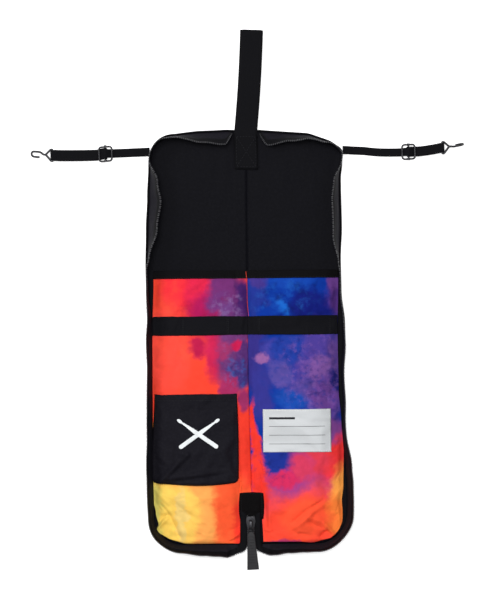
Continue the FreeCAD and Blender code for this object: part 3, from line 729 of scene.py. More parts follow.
def gusset_station(walked, name):
    """The seam point, the direction up the gusset, its thin direction and its depth."""
    seam, out = edge_point(walked)
    lean = stepped(LEAN[name], walked) * MM
    tip_from_fold = seam.x + out.x * lean - FOLD
    height = headroom(max(tip_from_fold, 0)) - HEADROOM
    if walked > 4:
        beyond = max(tip_from_fold - NOTCH_WIDTH, 0)
        height = min(height, NOTCH_HEIGHT + NOTCH_SLOPE * beyond)
    depth = min(GUSSET_DEPTH, math.hypot(height, lean))
    rise = math.sqrt(depth**2 - lean**2) / depth
    up_gusset = out * (lean / depth) + Vector((0, 0, rise))
    thin = out * rise - Vector((0, 0, lean / depth))
    return seam + Vector((0, 0, INSIDE + SEAM_LIFT)), up_gusset, thin, depth


def arc_length(walked):
    """Roughly how far the walk has come, in metres, for the run of the cloth."""
    lengths = (72, 42, 390, 50, 60, 16, 26)
    whole = min(int(walked), len(lengths) - 1)
    return (sum(lengths[:whole]) + lengths[whole] * (walked - whole)) * MM


def ripple(walked, up, name):
    """How far the loose cloth stands off its straight line, along its thin direction."""
    along = arc_length(walked)
    seed = 11 if name == "left" else 23
    slow = wobble(along, 0, seed, 38 * MM) * 1.7 * MM
    quick = wobble(along, up * 0.5, seed + 5, 9 * MM) * 0.7 * MM
    loose = smooth(up / (12 * MM))
    calm = 1 - between(walked, 4.75, 5)
    return (slow * loose + quick * math.sin(math.pi * smooth(up / GUSSET_DEPTH))) * calm


def bezier(a, b, c, d, share):
    left = a.lerp(b, share).lerp(b.lerp(c, share), share)
    right = b.lerp(c, share).lerp(c.lerp(d, share), share)
    return left.lerp(right, share)


def zipper_line(walked, up_share, name):
    """A point of the zipper strip: 0 at its sewn edge and 1 on the coil's middle line."""
    if walked <= 5:
        seam, up_gusset, thin, depth = gusset_station(walked, name)
        # The strip's end at the top of the fold is rounded off
        depth *= math.sqrt(1 - (1 - min((walked + 0.004) / 0.13, 1)) ** 2)
        top = depth - COIL / 2
        low = min(TAPE_WIDTH + COIL / 2, top)
        up = top - low * (1 - up_share)
        return seam + up_gusset * up + thin * ripple(walked, up, name)
    last_root = zipper_line(5, 0, name)
    last_tip = zipper_line(5, 1, name)
    root_foot = Vector((END_TAPE[1].x, END_TAPE[0].y + 3 * MM, END_HEIGHT))
    tip_foot = Vector((TEETH_LINE, END_TAPE[0].y, END_HEIGHT))
    if walked <= 6:
        part = walked - 5
        root = bezier(last_root, last_root - Vector((1.5, 0, 0)) * MM,
                      root_foot - Vector((0, 2, 0)) * MM, root_foot, part)
        tip = bezier(last_tip, last_tip - Vector((4.3, -2.2, 0)) * MM,
                     tip_foot - Vector((-1.5, 10, 0)) * MM, tip_foot, part)
    else:
        part = walked - 6
        run = Vector((0, (END_TAPE[1].y + 5 * MM - END_TAPE[0].y) * part, 0))
        root = root_foot + run
        tip = tip_foot + run
    bow = Vector((0, 0, 0.5 * MM * math.sin(math.pi * up_share)))
    return root.lerp(tip, up_share) + bow


def gusset_half(name, material):
    """The loose cloth wall that stands on the seam and carries the zipper."""
    side = SIDES[name]
    rows = 12
    columns = 420
    points = []
    flat = []
    for column in range(columns):
        walked = 5 * column / (columns - 1)
        seam, up_gusset, thin, _ = gusset_station(walked, name)
        top_line = zipper_line(walked, 0, name)
        reach = max((top_line - seam).dot(up_gusset) + 1.2 * MM, 0.3 * MM)
        for row in range(rows):
            up = reach * row / (rows - 1)
            stand = thin * (ripple(walked, up, name) - 0.35 * MM)
            points.append(on_side(seam + up_gusset * up + stand, side))
            flat.append(Vector((up, arc_length(walked), 0)))
    # A last web of cloth fills the turn, between the seam's end and the zipper
    for column in range(1, WEB_COLUMNS + 1):
        part = column / WEB_COLUMNS
        foot = seam - Vector((3.4 * MM * part, 0, 0))
        top_line = zipper_line(5 + 0.5 * part, 0.15, name)
        for row in range(rows):
            points.append(on_side(foot.lerp(top_line, row / (rows - 1)), side))
            flat.append(Vector((row * 1.2 * MM, arc_length(5) + part * 4 * MM, 0)))
    faces = grid_faces(columns + WEB_COLUMNS, rows)
    gusset = mesh_piece(f"{name}_gusset_cloth", points, faces, material, flat, flip=side < 0)
    thicken(gusset, 0.7 * MM, 0)
    finished(gusset, "gusset_fabric", f"{name}_gusset", body=f"{name}_half")


def tape_half(name, material, start, end, columns):
    """A run of zipper tape from one place on the walk to another."""
    side = SIDES[name]
    rows = 6
    points = []
    flat = []
    for column in range(columns):
        walked = mix(start, end, column / (columns - 1))
        for row in range(rows):
            share = row / (rows - 1)
            points.append(on_side(zipper_line(walked, share, name), side))
            flat.append(Vector((share * TAPE_WIDTH, arc_length(walked), 0)))
    label = f"{name}_tape" if end <= 5 else f"{name}_end_tape"
    tape = mesh_piece(label, points, grid_faces(columns, rows), material, flat, flip=side < 0)
    thicken(tape, 0.5 * MM, 0)
    return tape


def coil_teeth(name, label, start, end, material):
    """The nylon coil: small rounded loops side by side along the tape's edge."""
    side = SIDES[name]
    pitch = 2.1 * MM
    steps = 2400
    line = [zipper_line(mix(start, end, i / steps), 1, name) for i in range(steps + 1)]
    inner = [zipper_line(mix(start, end, i / steps), 0.8, name) for i in range(steps + 1)]
    points = []
    faces = []
    walked = 0.0
    target = 0.0
    for i in range(steps):
        walked += (line[i + 1] - line[i]).length
        if walked < target:
            continue
        target += pitch
        along = (line[i + 1] - line[i]).normalized()
        up = (line[i] - inner[i]).normalized()
        thin = along.cross(up).normalized()
        first = len(points)
        rings, turns = 5, 8
        for ring in range(rings):
            level = math.pi * (ring + 0.5) / rings
            for turn in range(turns):
                angle = 2 * math.pi * turn / turns
                bulge = math.sin(level) ** 0.7
                offset = up * (math.cos(level) * 1.0 * MM)
                offset += along * (math.cos(angle) * bulge * 0.68 * MM)
                offset += thin * (math.sin(angle) * bulge * 0.95 * MM)
                points.append(on_side(line[i] + offset, side))
        faces += ring_faces(first, rings, turns)
    return mesh_piece(label, points, faces, material, flip=side > 0)


def zipper_half(name, tape_material, coil_material):
    """A half's tape and coil, and their straight ends beside the slider."""
    tape = tape_half(name, tape_material, 0, 5, 420)
    coil = coil_teeth(name, f"{name}_coil", 0.004, 5, coil_material)
    finished(tape, "zipper_tape", f"{name}_zipper_tape", body=f"{name}_half")
    finished(coil, "zipper_teeth", f"{name}_zipper_teeth", body=f"{name}_half")
    end_tape = tape_half(name, tape_material, 5, 7, 60)
    end_coil = coil_teeth(name, f"{name}_end_coil", 5, 6.97, coil_material)
    finished(end_tape, "zipper_tape", f"zipper_end_tape_{name}")
    finished(end_coil, "zipper_teeth", f"zipper_end_teeth_{name}")
    for piece in (end_tape, end_coil):
        for vertex in piece.data.vertices:
            vertex.co.x += PULL_STRAY * between(14 * MM - abs(vertex.co.x), 0, 4 * MM)
        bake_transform(piece)


# --- stick pockets ------------------------------------------------------------------

POCKET_CLOTH = 0.8 * MM
POCKET_BASE = POCKET[0].z + POCKET_CLOTH
POCKET_EDGE = POCKET[1].x + 0.7 * MM
POCKET_HEM = 2.6 * MM
FOOT_RISE = {"left": 0, "right": 1.8 * MM}
BAND_MIDDLE = (ELASTIC[0].y + ELASTIC[1].y) / 2

# How far out a pocket is sewn down at heights up the bag, both in millimetres.
POCKET_SIDE = {
    "left": [(-228, 88), (-224, 95.2), (-219, 101.5), (-211, 106.4), (-203, 101),
             (-190, 103.2), (-175, 106.4), (-155, 108.4), (-60, 108.6), (-30, 107),
             (0, 105.2), (64, 103.2)],
    "right": [(-228, 86), (-223.5, 92), (-220, 101), (-207, 101.8), (-192, 102),
              (-180, 101.3), (-160, 103.2), (-125, 104), (-90, 101.5), (-60, 99.2),
              (0, 98.6), (64, 99.8)],
}

# Folds in the pocket cloth in millimetres: start, end, half width and height.
FOLDS = {
    "left": [((-104, -210), (-91.5, -196), 3.4, 3.6), ((-101, -202), (-91.5, -192.5), 2.3, -2.8),
             ((-96, -219), (-92, -209), 2.4, -2.6), ((-92, -209), (-84, -204), 2.2, -2.0),
             ((-88, -217), (-85, -208), 2.6, 1.2), ((-98.6, -180), (-91.9, -188), 2.6, -1.3),
             ((-91.9, -188), (-84.7, -202), 2.2, -2.0), ((-84.7, -202), (-77, -220), 2.2, -1.7),
             ((-81, -196), (-73, -217), 3.4, 1.2), ((-96, -180), (-88, -190), 3.0, 1.1),
             ((-87, -178), (-56, -200), 5.0, -1.3), ((-23, -221), (-13, -214), 2.2, 2.8),
             ((-25, -224), (-17, -220), 2.0, -1.8), ((-27, -215), (-14, -208), 2.4, -1.5),
             ((-50, -172), (-46, -215), 6.0, 1.0), ((-104, -165), (-88, -182), 3.5, 1.2)],
    "right": [((45, -202), (62, -188), 2.2, -2.6), ((62, -188), (80, -178), 2.2, -1.9),
              ((49, -207), (66, -193), 3.4, 1.9), ((66, -193), (82, -183), 3.4, 1.4),
              ((40, -197), (58, -182), 4.0, 1.0), ((62, -196), (80, -203), 3.0, 2.0),
              ((80, -203), (92, -216), 2.8, 3.2), ((63, -202), (78, -209), 2.4, -1.6),
              ((76, -219), (85, -212), 3.2, -2.8), ((81, -209), (84, -213), 2.2, 1.0),
              ((19, -178), (20, -211), 2.4, 2.2), ((20, -211), (18, -222), 2.4, 1.6),
              ((14.5, -184), (15.5, -207), 2.2, -1.6), ((12.5, -209), (19, -212), 1.8, 1.5),
              ((14, -216), (16, -222), 2.2, -1.3), ((96, -180), (99, -205), 3.0, 1.0)],
}


def pocket_edge(y, name):
    return stepped(POCKET_SIDE[name], y / MM) * MM


def pocket_foot(x, name):
    """The sewn lower edge, which stops short in the middle to make room for the zipper."""
    notch = PATCH[0].y + 6 * MM
    seam = bottom_edge(x, POCKET_HEM) + FOOT_RISE[name] * between(EDGE - x, 20 * MM, 50 * MM)
    return mix(notch, seam, between(x, 11.4 * MM, 13.6 * MM))


def along_fold(x, y, start, end):
    """A point's share along a fold, 0 and 1 being the ends, and how far off it lies."""
    a = Vector(start) * MM
    run = Vector(end) * MM - a
    point = Vector((x, y)) - a
    share = point.dot(run) / run.length_squared
    nearest = run * min(max(share, 0), 1)
    return share, (point - nearest).length


def fold_height(x, y, name):
    """The height that the folds of a pocket add to its cloth."""
    total = 0
    for start, end, wide, tall in FOLDS[name]:
        share, off = along_fold(x, y, start, end)
        gap = off / (wide * MM)
        fade = smooth(1.25 - abs(share - 0.5) * 1.5)
        total += tall * MM / (1 + gap**2) ** 2 * fade
    return total


def pocket_lift(x, y, name):
    """How high the empty pocket's front stands, before the cloth settles."""
    share = min(max((x - FOLD) / (pocket_edge(y, name) - FOLD), 0), 1)
    belly = math.sin(math.pi * share) ** 1.05
    widened = x * POCKET_EDGE / pocket_edge(y, name)
    foot = quarter((y - bottom_edge(widened, POCKET_HEM)) / (40 * MM))
    waist = 1 - 0.1 * math.exp(-((y - BAND_MIDDLE) / (16 * MM)) ** 2)
    mouth = 1 - 0.08 * between(y, MOUTH - 40 * MM, MOUTH)
    side = SIDES[name]
    channels = 0.8 * MM * wobble(side * x, y * 0.12, 31, 13 * MM) * belly * foot
    height = 0.8 * POCKET_CREST * belly * foot * waist * mouth + channels
    near_seam = 0.6 * MM * math.exp(-((x - 7 * MM) / (3 * MM)) ** 2) * foot
    return max(height + near_seam, 0)


CLOTH_SETTINGS = {
    "quality": 6, "mass": 0.15, "tension_stiffness": 20, "compression_stiffness": 20,
    "shear_stiffness": 8, "bending_stiffness": 0.08,
}


def sewn_points(columns, rows):
    """The points along the two sides and the last row of a sheet."""
    sides = {row * columns + end for row in range(rows) for end in (0, columns - 1)}
    return sides | set(range((rows - 1) * columns, rows * columns))


def calmed(moves, columns, pins):
    """Each move drawn half way to the mean of its neighbours' moves."""
    result = []
    for index, move in enumerate(moves):
        near = [i for i in (index - columns, index - 1, index + 1, index + columns)
                if 0 <= i < len(moves)]
        mean = sum((moves[i] for i in near), Vector()) / len(near)
        result.append(move if index in pins else move.lerp(mean, 0.5))
    return result


def settle(piece, columns, pins, pressure, growth, reach, ground, freedom, frames=22):
    """Lets a sheet of cloth swell and crease between its seams.

    The sheet has that many points in a row. No point moves further than reach or ends
    up lower than ground(x, y). freedom(x, y) falls from 1 to 0 towards the seams.
    """
    start = [vertex.co.copy() for vertex in piece.data.vertices]
    group = piece.vertex_groups.new(name="seams")
    group.add(sorted(pins), 1.0, "REPLACE")
    cloth = piece.modifiers.new("cloth", "CLOTH")
    settings = cloth.settings
    for key, value in CLOTH_SETTINGS.items():
        setattr(settings, key, value)
    settings.vertex_group_mass = "seams"
    settings.shrink_min = -growth
    settings.use_pressure = pressure > 0
    settings.uniform_pressure_force = pressure
    settings.effector_weights.gravity = 0
    cloth.collision_settings.use_collision = False
    cloth.point_cache.frame_end = frames
    for number in range(1, frames + 1):
        bpy.context.scene.frame_set(number)
    settled = piece.evaluated_get(bpy.context.evaluated_depsgraph_get())
    ends = [vertex.co.copy() for vertex in settled.data.vertices]
    piece.modifiers.remove(cloth)
    piece.vertex_groups.remove(group)
    moves = []
    for before, after in zip(start, ends):
        move = after - before
        kept = min(1, reach / max(move.length, 1e-9)) * freedom(before.x, before.y)
        moves.append(move * kept)
    for _ in range(2):
        moves = calmed(moves, columns, pins)
    for vertex, before, move in zip(piece.data.vertices, start, moves):
        vertex.co = before + move
        vertex.co.z = max(vertex.co.z, ground(vertex.co.x, vertex.co.y))
    piece.data.update()
    bpy.context.scene.frame_set(1)


def pocket_half(name, material):
    """A stick pocket, open at its mouth: swollen, settled by the cloth solver and folded."""
    side = SIDES[name]
    columns, rows = 84, 230

    def place(s, t):
        x = spread(s, POCKET_EDGE)
        y = mix(pocket_foot(x, name), MOUTH, t**1.35)
        x *= pocket_edge(y, name) / POCKET_EDGE
        return Vector((side * x, y, POCKET_BASE + pocket_lift(x, y, name)))

    pocket = sheet(f"{name}_pocket", rows, columns, place, material, flip=side < 0)
    pins = sewn_points(columns, rows) | set(range(columns))

    def freedom(x, y):
        inward = min(pocket_edge(y, name) - abs(x), y - pocket_foot(abs(x), name), MOUTH - y)
        by_patch = between(abs(x), 13 * MM, 22 * MM)
        above_patch = between(y, PATCH[1].y, PATCH[1].y + 12 * MM)
        return between(inward, 0, 9 * MM) * max(by_patch, above_patch)

    settle(pocket, columns, pins, 0.8, 0.025, 3 * MM, lambda x, y: POCKET_BASE, freedom)
    for vertex in pocket.data.vertices:
        x, y, z = vertex.co
        inward = min(pocket_edge(y, name) - abs(x), y - pocket_foot(abs(x), name))
        loose = between(inward, 0, 4 * MM)
        vertex.co.z = max(z + fold_height(x, y, name) * mix(0.35, 1, loose), POCKET_BASE)
    moved_over(pocket, MIDDLE_STRAY)
    thicken(pocket, POCKET_CLOTH)
    return hinged_piece(pocket, name, "pocket_fabric", ("stick_pocket",), ("pocket_strip",))


class Surface:
    """Heights of finished pieces, for laying other pieces on them."""

    def __init__(self, *pieces):
        graph = bpy.context.evaluated_depsgraph_get()
        self.trees = [BVHTree.FromObject(piece, graph) for piece in pieces]

    def height(self, x, y):
        best = None
        for tree in self.trees:
            hit = tree.ray_cast(Vector((x, y, 0.1)), Vector((0, 0, -1)))[0]
            if hit and (best is None or hit.z > best):
                best = hit.z
        return INSIDE if best is None else best

    def smoothed(self, x, y, reach):
        offsets = (-reach, -reach / 2, 0, reach / 2, reach)
        heights = [self.height(x + step, y) for step in offsets]
        return max(sum(heights) / len(heights), heights[2])


def stitch_row(name, path, material, length=2.4 * MM, gap=0.9 * MM, radius=0.24 * MM):
    """A row of thread stitches along a path of points, each a short sunk-ended bead."""
    points = []
    faces = []
    walked = [0.0]
    for a, b in zip(path, path[1:]):
        walked.append(walked[-1] + (b - a).length)

    def at(distance):
        distance = min(max(distance, 0), walked[-1])
        for i in range(len(path) - 1):
            if distance <= walked[i + 1]:
                span = max(walked[i + 1] - walked[i], 1e-9)
                return path[i].lerp(path[i + 1], (distance - walked[i]) / span)
        return path[-1].copy()

    begin = gap / 2
    turns = 6
    # Each ring's share along the stitch, its width and how deep it is sunk
    rings = ((0, 0.35, 1), (0.18, 1, 0.1), (0.82, 1, 0.1), (1, 0.35, 1))
    while begin + length < walked[-1]:
        start, end = at(begin), at(begin + length)
        along = (end - start).normalized()
        up = Vector((0, 0, 1))
        if abs(along.z) > 0.9:
            up = Vector((1, 0, 0))
        across = along.cross(up).normalized()
        up = across.cross(along)
        first = len(points)
        for share, wide, sunk in rings:
            centre = start.lerp(end, share) - up * (radius * sunk)
            for turn in range(turns):
                angle = 2 * math.pi * turn / turns
                points.append(centre + (across * math.cos(angle) + up * math.sin(angle))
                              * radius * wide)
        faces += ring_faces(first, len(rings), turns)
        begin += length + gap
    return mesh_piece(name, points, faces, material)


def laid_path(surface, corners, lift, step=2 * MM, closed=False):
    """Points along straight runs between corners, laid on a surface."""
    corners = [Vector((*corner, 0)) for corner in corners]
    if closed:
        corners.append(corners[0])
    path = []
    for a, b in zip(corners, corners[1:]):
        count = max(int((b - a).length / step), 1)
        for i in range(count):
            place = a.lerp(b, i / count)
            path.append(Vector((place.x, place.y, surface.height(place.x, place.y) + lift)))
    last = corners[-1]
    path.append(Vector((last.x, last.y, surface.height(last.x, last.y) + lift)))
    return path


# --- webbing ------------------------------------------------------------------------


def through(points, steps=8):
    """A smooth path through points."""
    points = [Vector(p) for p in points]
    ends = [points[0] * 2 - points[1]] + points + [points[-1] * 2 - points[-2]]
    path = []
    for a, b, c, d in zip(ends, ends[1:], ends[2:], ends[3:]):
        for step in range(steps):
            t = step / steps
            path.append((b * 2 + (c - a) * t + (a * 2 - b * 5 + c * 4 - d) * t**2
                         + (b * 3 - a - c * 3 + d) * t**3) / 2)
    path.append(points[-1])
    return path


def ribbon(name, path, across, width, thickness, material, taper=None):
    """Flat webbing along a path, with rounded selvedges; closed at both ends."""
    top = 9
    section = []
    for i in range(top):
        share = -1 + 2 * i / (top - 1)
        edge = math.sqrt(max(1 - abs(share) ** 14, 0))
        section.append((share, max(edge, 0.25)))
    ring = section + [(share, -tall) for share, tall in reversed(section)]
    points = []
    flat = []
    walked = 0.0
    for i, centre in enumerate(path):
        ahead = path[min(i + 1, len(path) - 1)]
        behind = path[max(i - 1, 0)]
        along = (ahead - behind).normalized()
        normal = along.cross(across).normalized() * -1
        if i:
            walked += (centre - path[i - 1]).length
        wide = width * (taper(i / (len(path) - 1)) if taper else 1)
        for share, tall in ring:
            points.append(centre + across * (share * wide / 2) + normal * (tall * thickness / 2))
            flat.append(Vector((share * width / 2, walked, 0)))
    return mesh_piece(name, points, ring_faces(0, len(path), len(ring)), material, flat)


# --- binding and elastic band -------------------------------------------------------

BINDING_WIDTH = BINDING[1].y - BINDING[0].y
ELASTIC_TACKS = {"left": (-71, -22), "right": (12, 90)}


def binding_half(name, surface, material, thread):
    """The black tape folded over the mouth of a pocket."""
    side = SIDES[name]
    lip = 0.9 * MM

    def place(s, t):
        x = mix(0, pocket_edge(MOUTH, name), s) * side
        walked = t * (2 * BINDING_WIDTH * 0.9)
        front = 0.9 * BINDING_WIDTH
        y = MOUTH + lip - front * abs(1 - walked / front)
        on_cloth = surface.height(x, min(y, MOUTH - 0.6 * MM))
        gap = 0.75 * MM if walked < front else -1.75 * MM
        bend = smooth(1 - abs(1 - walked / front) * 8)
        return Vector((x, y + 0.2 * MM * wobble(x, 0, 3, 9 * MM), on_cloth + gap * (1 - bend)
                       - 0.45 * MM * bend))

    def cloth(s, t):
        return Vector((t * 2 * BINDING_WIDTH, s * POCKET_EDGE * side, 0))

    binding = sheet(f"{name}_binding", 22, 96, place, material, cloth, flip=side < 0)
    thicken(binding, 0.45 * MM, 0)
    hinged_piece(binding, name, "binding", ("pocket_binding",), ("pocket_binding",))
    path = [place(i / 120, 0.06) + Vector((0, 0, 0.3 * MM)) for i in range(121)]
    seam = stitch_row(f"{name}_binding_stitches", path, thread)
    hinged_piece(seam, name, "binding")


def elastic_half(name, surface, material, thread):
    """The band across the pockets, tacked down at a few places and slack between."""
    side = SIDES[name]
    low, high = ELASTIC[0].y, ELASTIC[1].y
    tacks = [place * MM for place in ELASTIC_TACKS[name]]
    tacks += [0, side * pocket_edge(low, name)]

    def place(s, t):
        x = mix(0, pocket_edge(low, name), s) * side
        nearest = min(abs(x - tack) for tack in tacks)
        slack = 1.3 * MM * between(nearest, 0, 14 * MM)
        y = mix(low, high, t)
        curl = 0.25 * MM * math.cos(math.pi * (t - 0.5)) ** 2
        bow = 0.4 * MM * wobble(x, t, 17, 24 * MM)
        base = surface.smoothed(x, y, 8 * MM)
        return Vector((x, y + bow, base + 0.75 * MM + slack * 0.6 + curl))

    def cloth(s, t):
        return Vector((t * (high - low), s * POCKET_EDGE * side, 0))

    band = sheet(f"{name}_elastic", 14, 96, place, material, cloth, flip=side < 0)
    thicken(band, 0.9 * MM)
    hinged_piece(band, name, "elastic", ("elastic_band",), ("elastic_band",))
    top = Surface(band)
    for number, tack in enumerate(ELASTIC_TACKS[name]):
        for twin in (-0.7, 0.7):
            x = tack * MM + twin * MM
            path = laid_path(top, [(x, low + 1.2 * MM), (x, high - 1.2 * MM)], 0.12 * MM)
            row = stitch_row(f"{name}_elastic_tack_{number}_{'a' if twin < 0 else 'b'}",
                             path, thread, 1.6 * MM, 0.5 * MM)
            hinged_piece(row, name, "elastic")


# --- accessory pocket with its emblem, and owner label ------------------------------


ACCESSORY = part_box("accessory_pocket")
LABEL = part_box("owner_label")

# The two printed sticks, butt end to tip, in millimetres.
EMBLEM_STICKS = [((-76, -119), (-32, -88)), ((-34, -119), (-78, -88))]

# The empty pouch's folds, in the middle and above its foot, as in FOLDS.
POUCH_FOLDS = [((-99, -158), (-67, -127), 3.0, 3.8), ((-92, -154), (-63, -127), 2.4, -2.8),
               ((-94, -153), (-24, -144), 2.8, 2.4), ((-88, -157), (-30, -149), 2.4, -1.8),
               ((-12, -158), (-24, -138), 2.8, 2.2), ((-67, -127), (-77, -122), 2.8, 1.6)]


def accessory(surface, material, thread, print_material):
    """A gusseted pouch on the left pocket, standing fuller towards its folded foot."""
    inner, outer = -12.9 * MM, ACCESSORY[0].x - 0.4 * MM
    top, foot = ACCESSORY[1].y, ACCESSORY[0].y
    columns, rows = 58, 64

    def edges(t):
        right = inner + 1.2 * MM * t + 0.8 * MM * math.sin(math.pi * t)
        left = outer + 1.0 * MM - 4.2 * MM * smooth(t * 1.2)
        return left, right

    def place(s, t):
        corner = min(s, 1 - s) * (inner - outer)
        round_foot = 4.5 * MM * (1 - quarter(corner / (5.5 * MM)))
        left, right = edges(t)
        x = mix(left, right, s)
        sag = 3.4 * MM * math.sin(math.pi * s**1.25) * t
        y = mix(top, foot + 4 * MM + round_foot - sag, t)
        from_side = min(x - left, right - x)
        side_rise = quarter(from_side / (3.2 * MM))
        foot_rise = quarter((1 - t) * (top - foot) / (4.5 * MM))
        full = mix(1.6, 5.0, smooth(t)) * MM
        lift = full * (0.35 + 0.65 * math.sin(math.pi * s)) * side_rise * foot_rise
        return Vector((x, y, surface.smoothed(x, y, 6 * MM) + 0.7 * MM + lift))

    pouch = sheet("accessory_pouch", rows, columns, place, material)
    settle(pouch, columns, sewn_points(columns, rows), 0.8, 0.03, 2.5 * MM,
           lambda x, y: surface.height(x, y) + 0.8 * MM,
           lambda x, y: between(min(x - outer, inner - x), 0, 6 * MM))
    for vertex in pouch.data.vertices:
        x, y, z = vertex.co
        lowest_here = surface.height(x, y) + 0.8 * MM
        vertex.co.z = max(z + pocket_crease(x, y), lowest_here)
    thicken(pouch, 0.6 * MM, 0)
    finished(pouch, "accessory_fabric", "accessory_pocket", body="left_half")
    cover = Surface(pouch)
    accessory_stitches(cover, inner, outer, top, foot, thread)
    for number, (start, end) in enumerate(EMBLEM_STICKS):
        stick = drumstick_print(f"emblem_stick_{number}", cover, start, end, print_material,
                                0.10 * MM + number * 0.12 * MM)
        finished(stick, "label_card", body="left_half")


def accessory_stitches(cover, inner, outer, top, foot, thread):
    """The stitches along the pouch's hem and down its two sides."""
    hem = laid_path(cover, [(outer + 1.5 * MM, top - 7 * MM), (inner - 1.5 * MM, top - 7 * MM)],
                    0.1 * MM)
    left_side = laid_path(cover, [(outer + 1.9 * MM, top - 1.5 * MM),
                                  (outer - 0.2 * MM, foot + 9 * MM)], 0.1 * MM)
    right_side = laid_path(cover, [(inner - 1.6 * MM, top - 1.5 * MM),
                                   (inner - 0.4 * MM, foot + 9 * MM)], 0.1 * MM)
    for number, path in enumerate((hem, left_side, right_side)):
        row = stitch_row(f"accessory_stitches_{number}", path, thread)
        finished(row, "accessory_fabric", body="left_half")


def pocket_crease(x, y):
    """The height that the pouch's folds add, round-topped and steeper than a pocket's."""
    total = 0
    for start, end, wide, tall in POUCH_FOLDS:
        share, off = along_fold(x, y, start, end)
        share = min(max(share, 0), 1)
        gap = off / (wide * MM)
        total += tall * MM * math.exp(-gap * gap) * smooth(1.3 - abs(share - 0.4) * 1.4)
    return total


def drumstick_print(name, surface, start, end, material, lift):
    """A printed drumstick: a plain shaft that narrows to a neck and an oval tip."""
    start, end = Vector(start) * MM, Vector(end) * MM
    run = end - start
    across = Vector((-run.y, run.x)).normalized()

    def half_width(t):
        if t < 0.04:
            return 2.3 * MM * max(quarter(t / 0.04), 0.15)
        if t < 0.55:
            return 2.3 * MM
        if t < 0.88:
            return mix(2.3, 0.95, (t - 0.55) / 0.33) * MM
        bead = (t - 0.88) / 0.12
        neck = 0.95 * (1 - 3 * bead)
        return max(neck, 1.8 * math.sqrt(max(1 - (2 * bead - 1) ** 2, 0.004))) * MM

    def place(s, t):
        spot = start + run * t + across * (half_width(t) * (2 * s - 1))
        return Vector((spot.x, spot.y, surface.height(spot.x, spot.y) + lift))

    stick = sheet(name, 130, 7, place, material)
    thicken(stick, 0.05 * MM)
    return stick


def owner_label(surface, material, ink, thread):
    """A white card label sewn on: a printed bar and three writing lines."""
    low, high = LABEL[0], LABEL[1]
    inner = low.x + 0.2 * MM

    def lay(x, y, lift):
        return Vector((x, y, surface.smoothed(x, y, 7 * MM) + lift))

    def place(s, t):
        x = mix(inner, high.x, s)
        y = mix(low.y, high.y, t)
        curl = 0.5 * MM * between(abs(s - 0.5), 0.42, 0.5) * between(abs(t - 0.5), 0.4, 0.5)
        wave = 0.2 * MM * wobble(x, y, 41, 18 * MM)
        return lay(x, y, 0.95 * MM + curl + wave)

    card = sheet("owner_card", 36, 56, place, material)
    thicken(card, 0.35 * MM)
    finished(card, "label_card", "owner_label", body="right_half")
    top = Surface(card)
    print_run = [("label_bar", 0.09, 0.47, 0.79, 2.3)]
    print_run += [(f"label_line_{i}", 0.09, 0.91, 0.60 - 0.205 * i, 0.42) for i in range(3)]
    for name, start, end, up, tall in print_run:
        y = mix(low.y, high.y, up)

        def printed(s, t, y=y, tall=tall, start=start, end=end):
            x = mix(inner, high.x, mix(start, end, s))
            along = y + (t - 0.5) * tall * MM
            return Vector((x, along, top.height(x, along) + 0.1 * MM))

        mark = sheet(name, 3, 60, printed, ink)
        thicken(mark, 0.05 * MM)
        finished(mark, "label_card", body="right_half")
    margin = 1.5 * MM
    corners = [(inner + margin, low.y + margin), (high.x - margin, low.y + margin),
               (high.x - margin, high.y - margin), (inner + margin, high.y - margin)]
    row = stitch_row("label_stitches", laid_path(top, corners, 0.06 * MM, closed=True), thread,
                     2.0 * MM, 0.8 * MM, 0.14 * MM)
    finished(row, "label_card", body="right_half")


# --- handle -------------------------------------------------------------------------

HANDLE_PIVOT = 230 * MM
HANDLE_LEAN = math.radians(-3.8)
HANDLE_LENGTH = 109 * MM
WEBBING = 1.5 * MM


def handle_point(along, height):
    """A point on the middle line of the loop, by its distance from the pivot."""
    bend = 0.9 * MM * math.sin(along / HANDLE_LENGTH * math.pi)
    return Vector((-math.sin(HANDLE_LEAN) * along + bend, HANDLE_PIVOT
                   + math.cos(HANDLE_LEAN) * along, INSIDE + height))


def handle(material, thread):
    """One length of webbing, doubled: both ends are sewn inside the top of the spine."""
    width = ANCHOR[1].x - ANCHOR[0].x
    sewn = [Vector((0, y * MM, INSIDE + 0.9 * MM)) for y in (185, 195, 205, 215, 222)]
    # Distance from the pivot and height: out underneath, round the end and back on top
    loop = [(-4, 0.2), (4, -0.75), (20, -0.6), (45, -0.2), (75, -0.5), (100, -0.8),
            (106.4, -0.75), (108.2, 0), (106.4, 0.9),
            (98, 1.2), (75, 1.9), (45, 2.2), (20, 1.4), (4, 1.2), (-6, 2.4), (-13, 2.6)]
    out_and_back = [handle_point(along * MM, height * MM) for along, height in loop]
    back = [Vector((0, y * MM, INSIDE + 2.5 * MM)) for y in (207, 197, 186)]
    path = through(sewn + out_and_back + back, 6)
    strap = ribbon("handle_webbing", path, direction(HANDLE_LEAN * 0.6), width, WEBBING * 0.9,
                   material)
    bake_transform(strap)
    finished(strap, "webbing", "handle_anchor", "handle_loop")
    top = Surface(strap)
    half = width / 2 - 2 * MM
    box = [(-half, 188 * MM), (half, 188 * MM), (half, 221 * MM), (-half, 221 * MM)]
    cross = [[(-half, 188 * MM), (half, 221 * MM)], [(half, 188 * MM), (-half, 221 * MM)]]
    rows = [laid_path(top, box, 0.08 * MM, closed=True)]
    rows += [laid_path(top, line, 0.08 * MM) for line in cross]
    for number, path in enumerate(rows):
        row = stitch_row(f"handle_stitches_{number}", path, thread)
        finished(row, "webbing", body="spine")


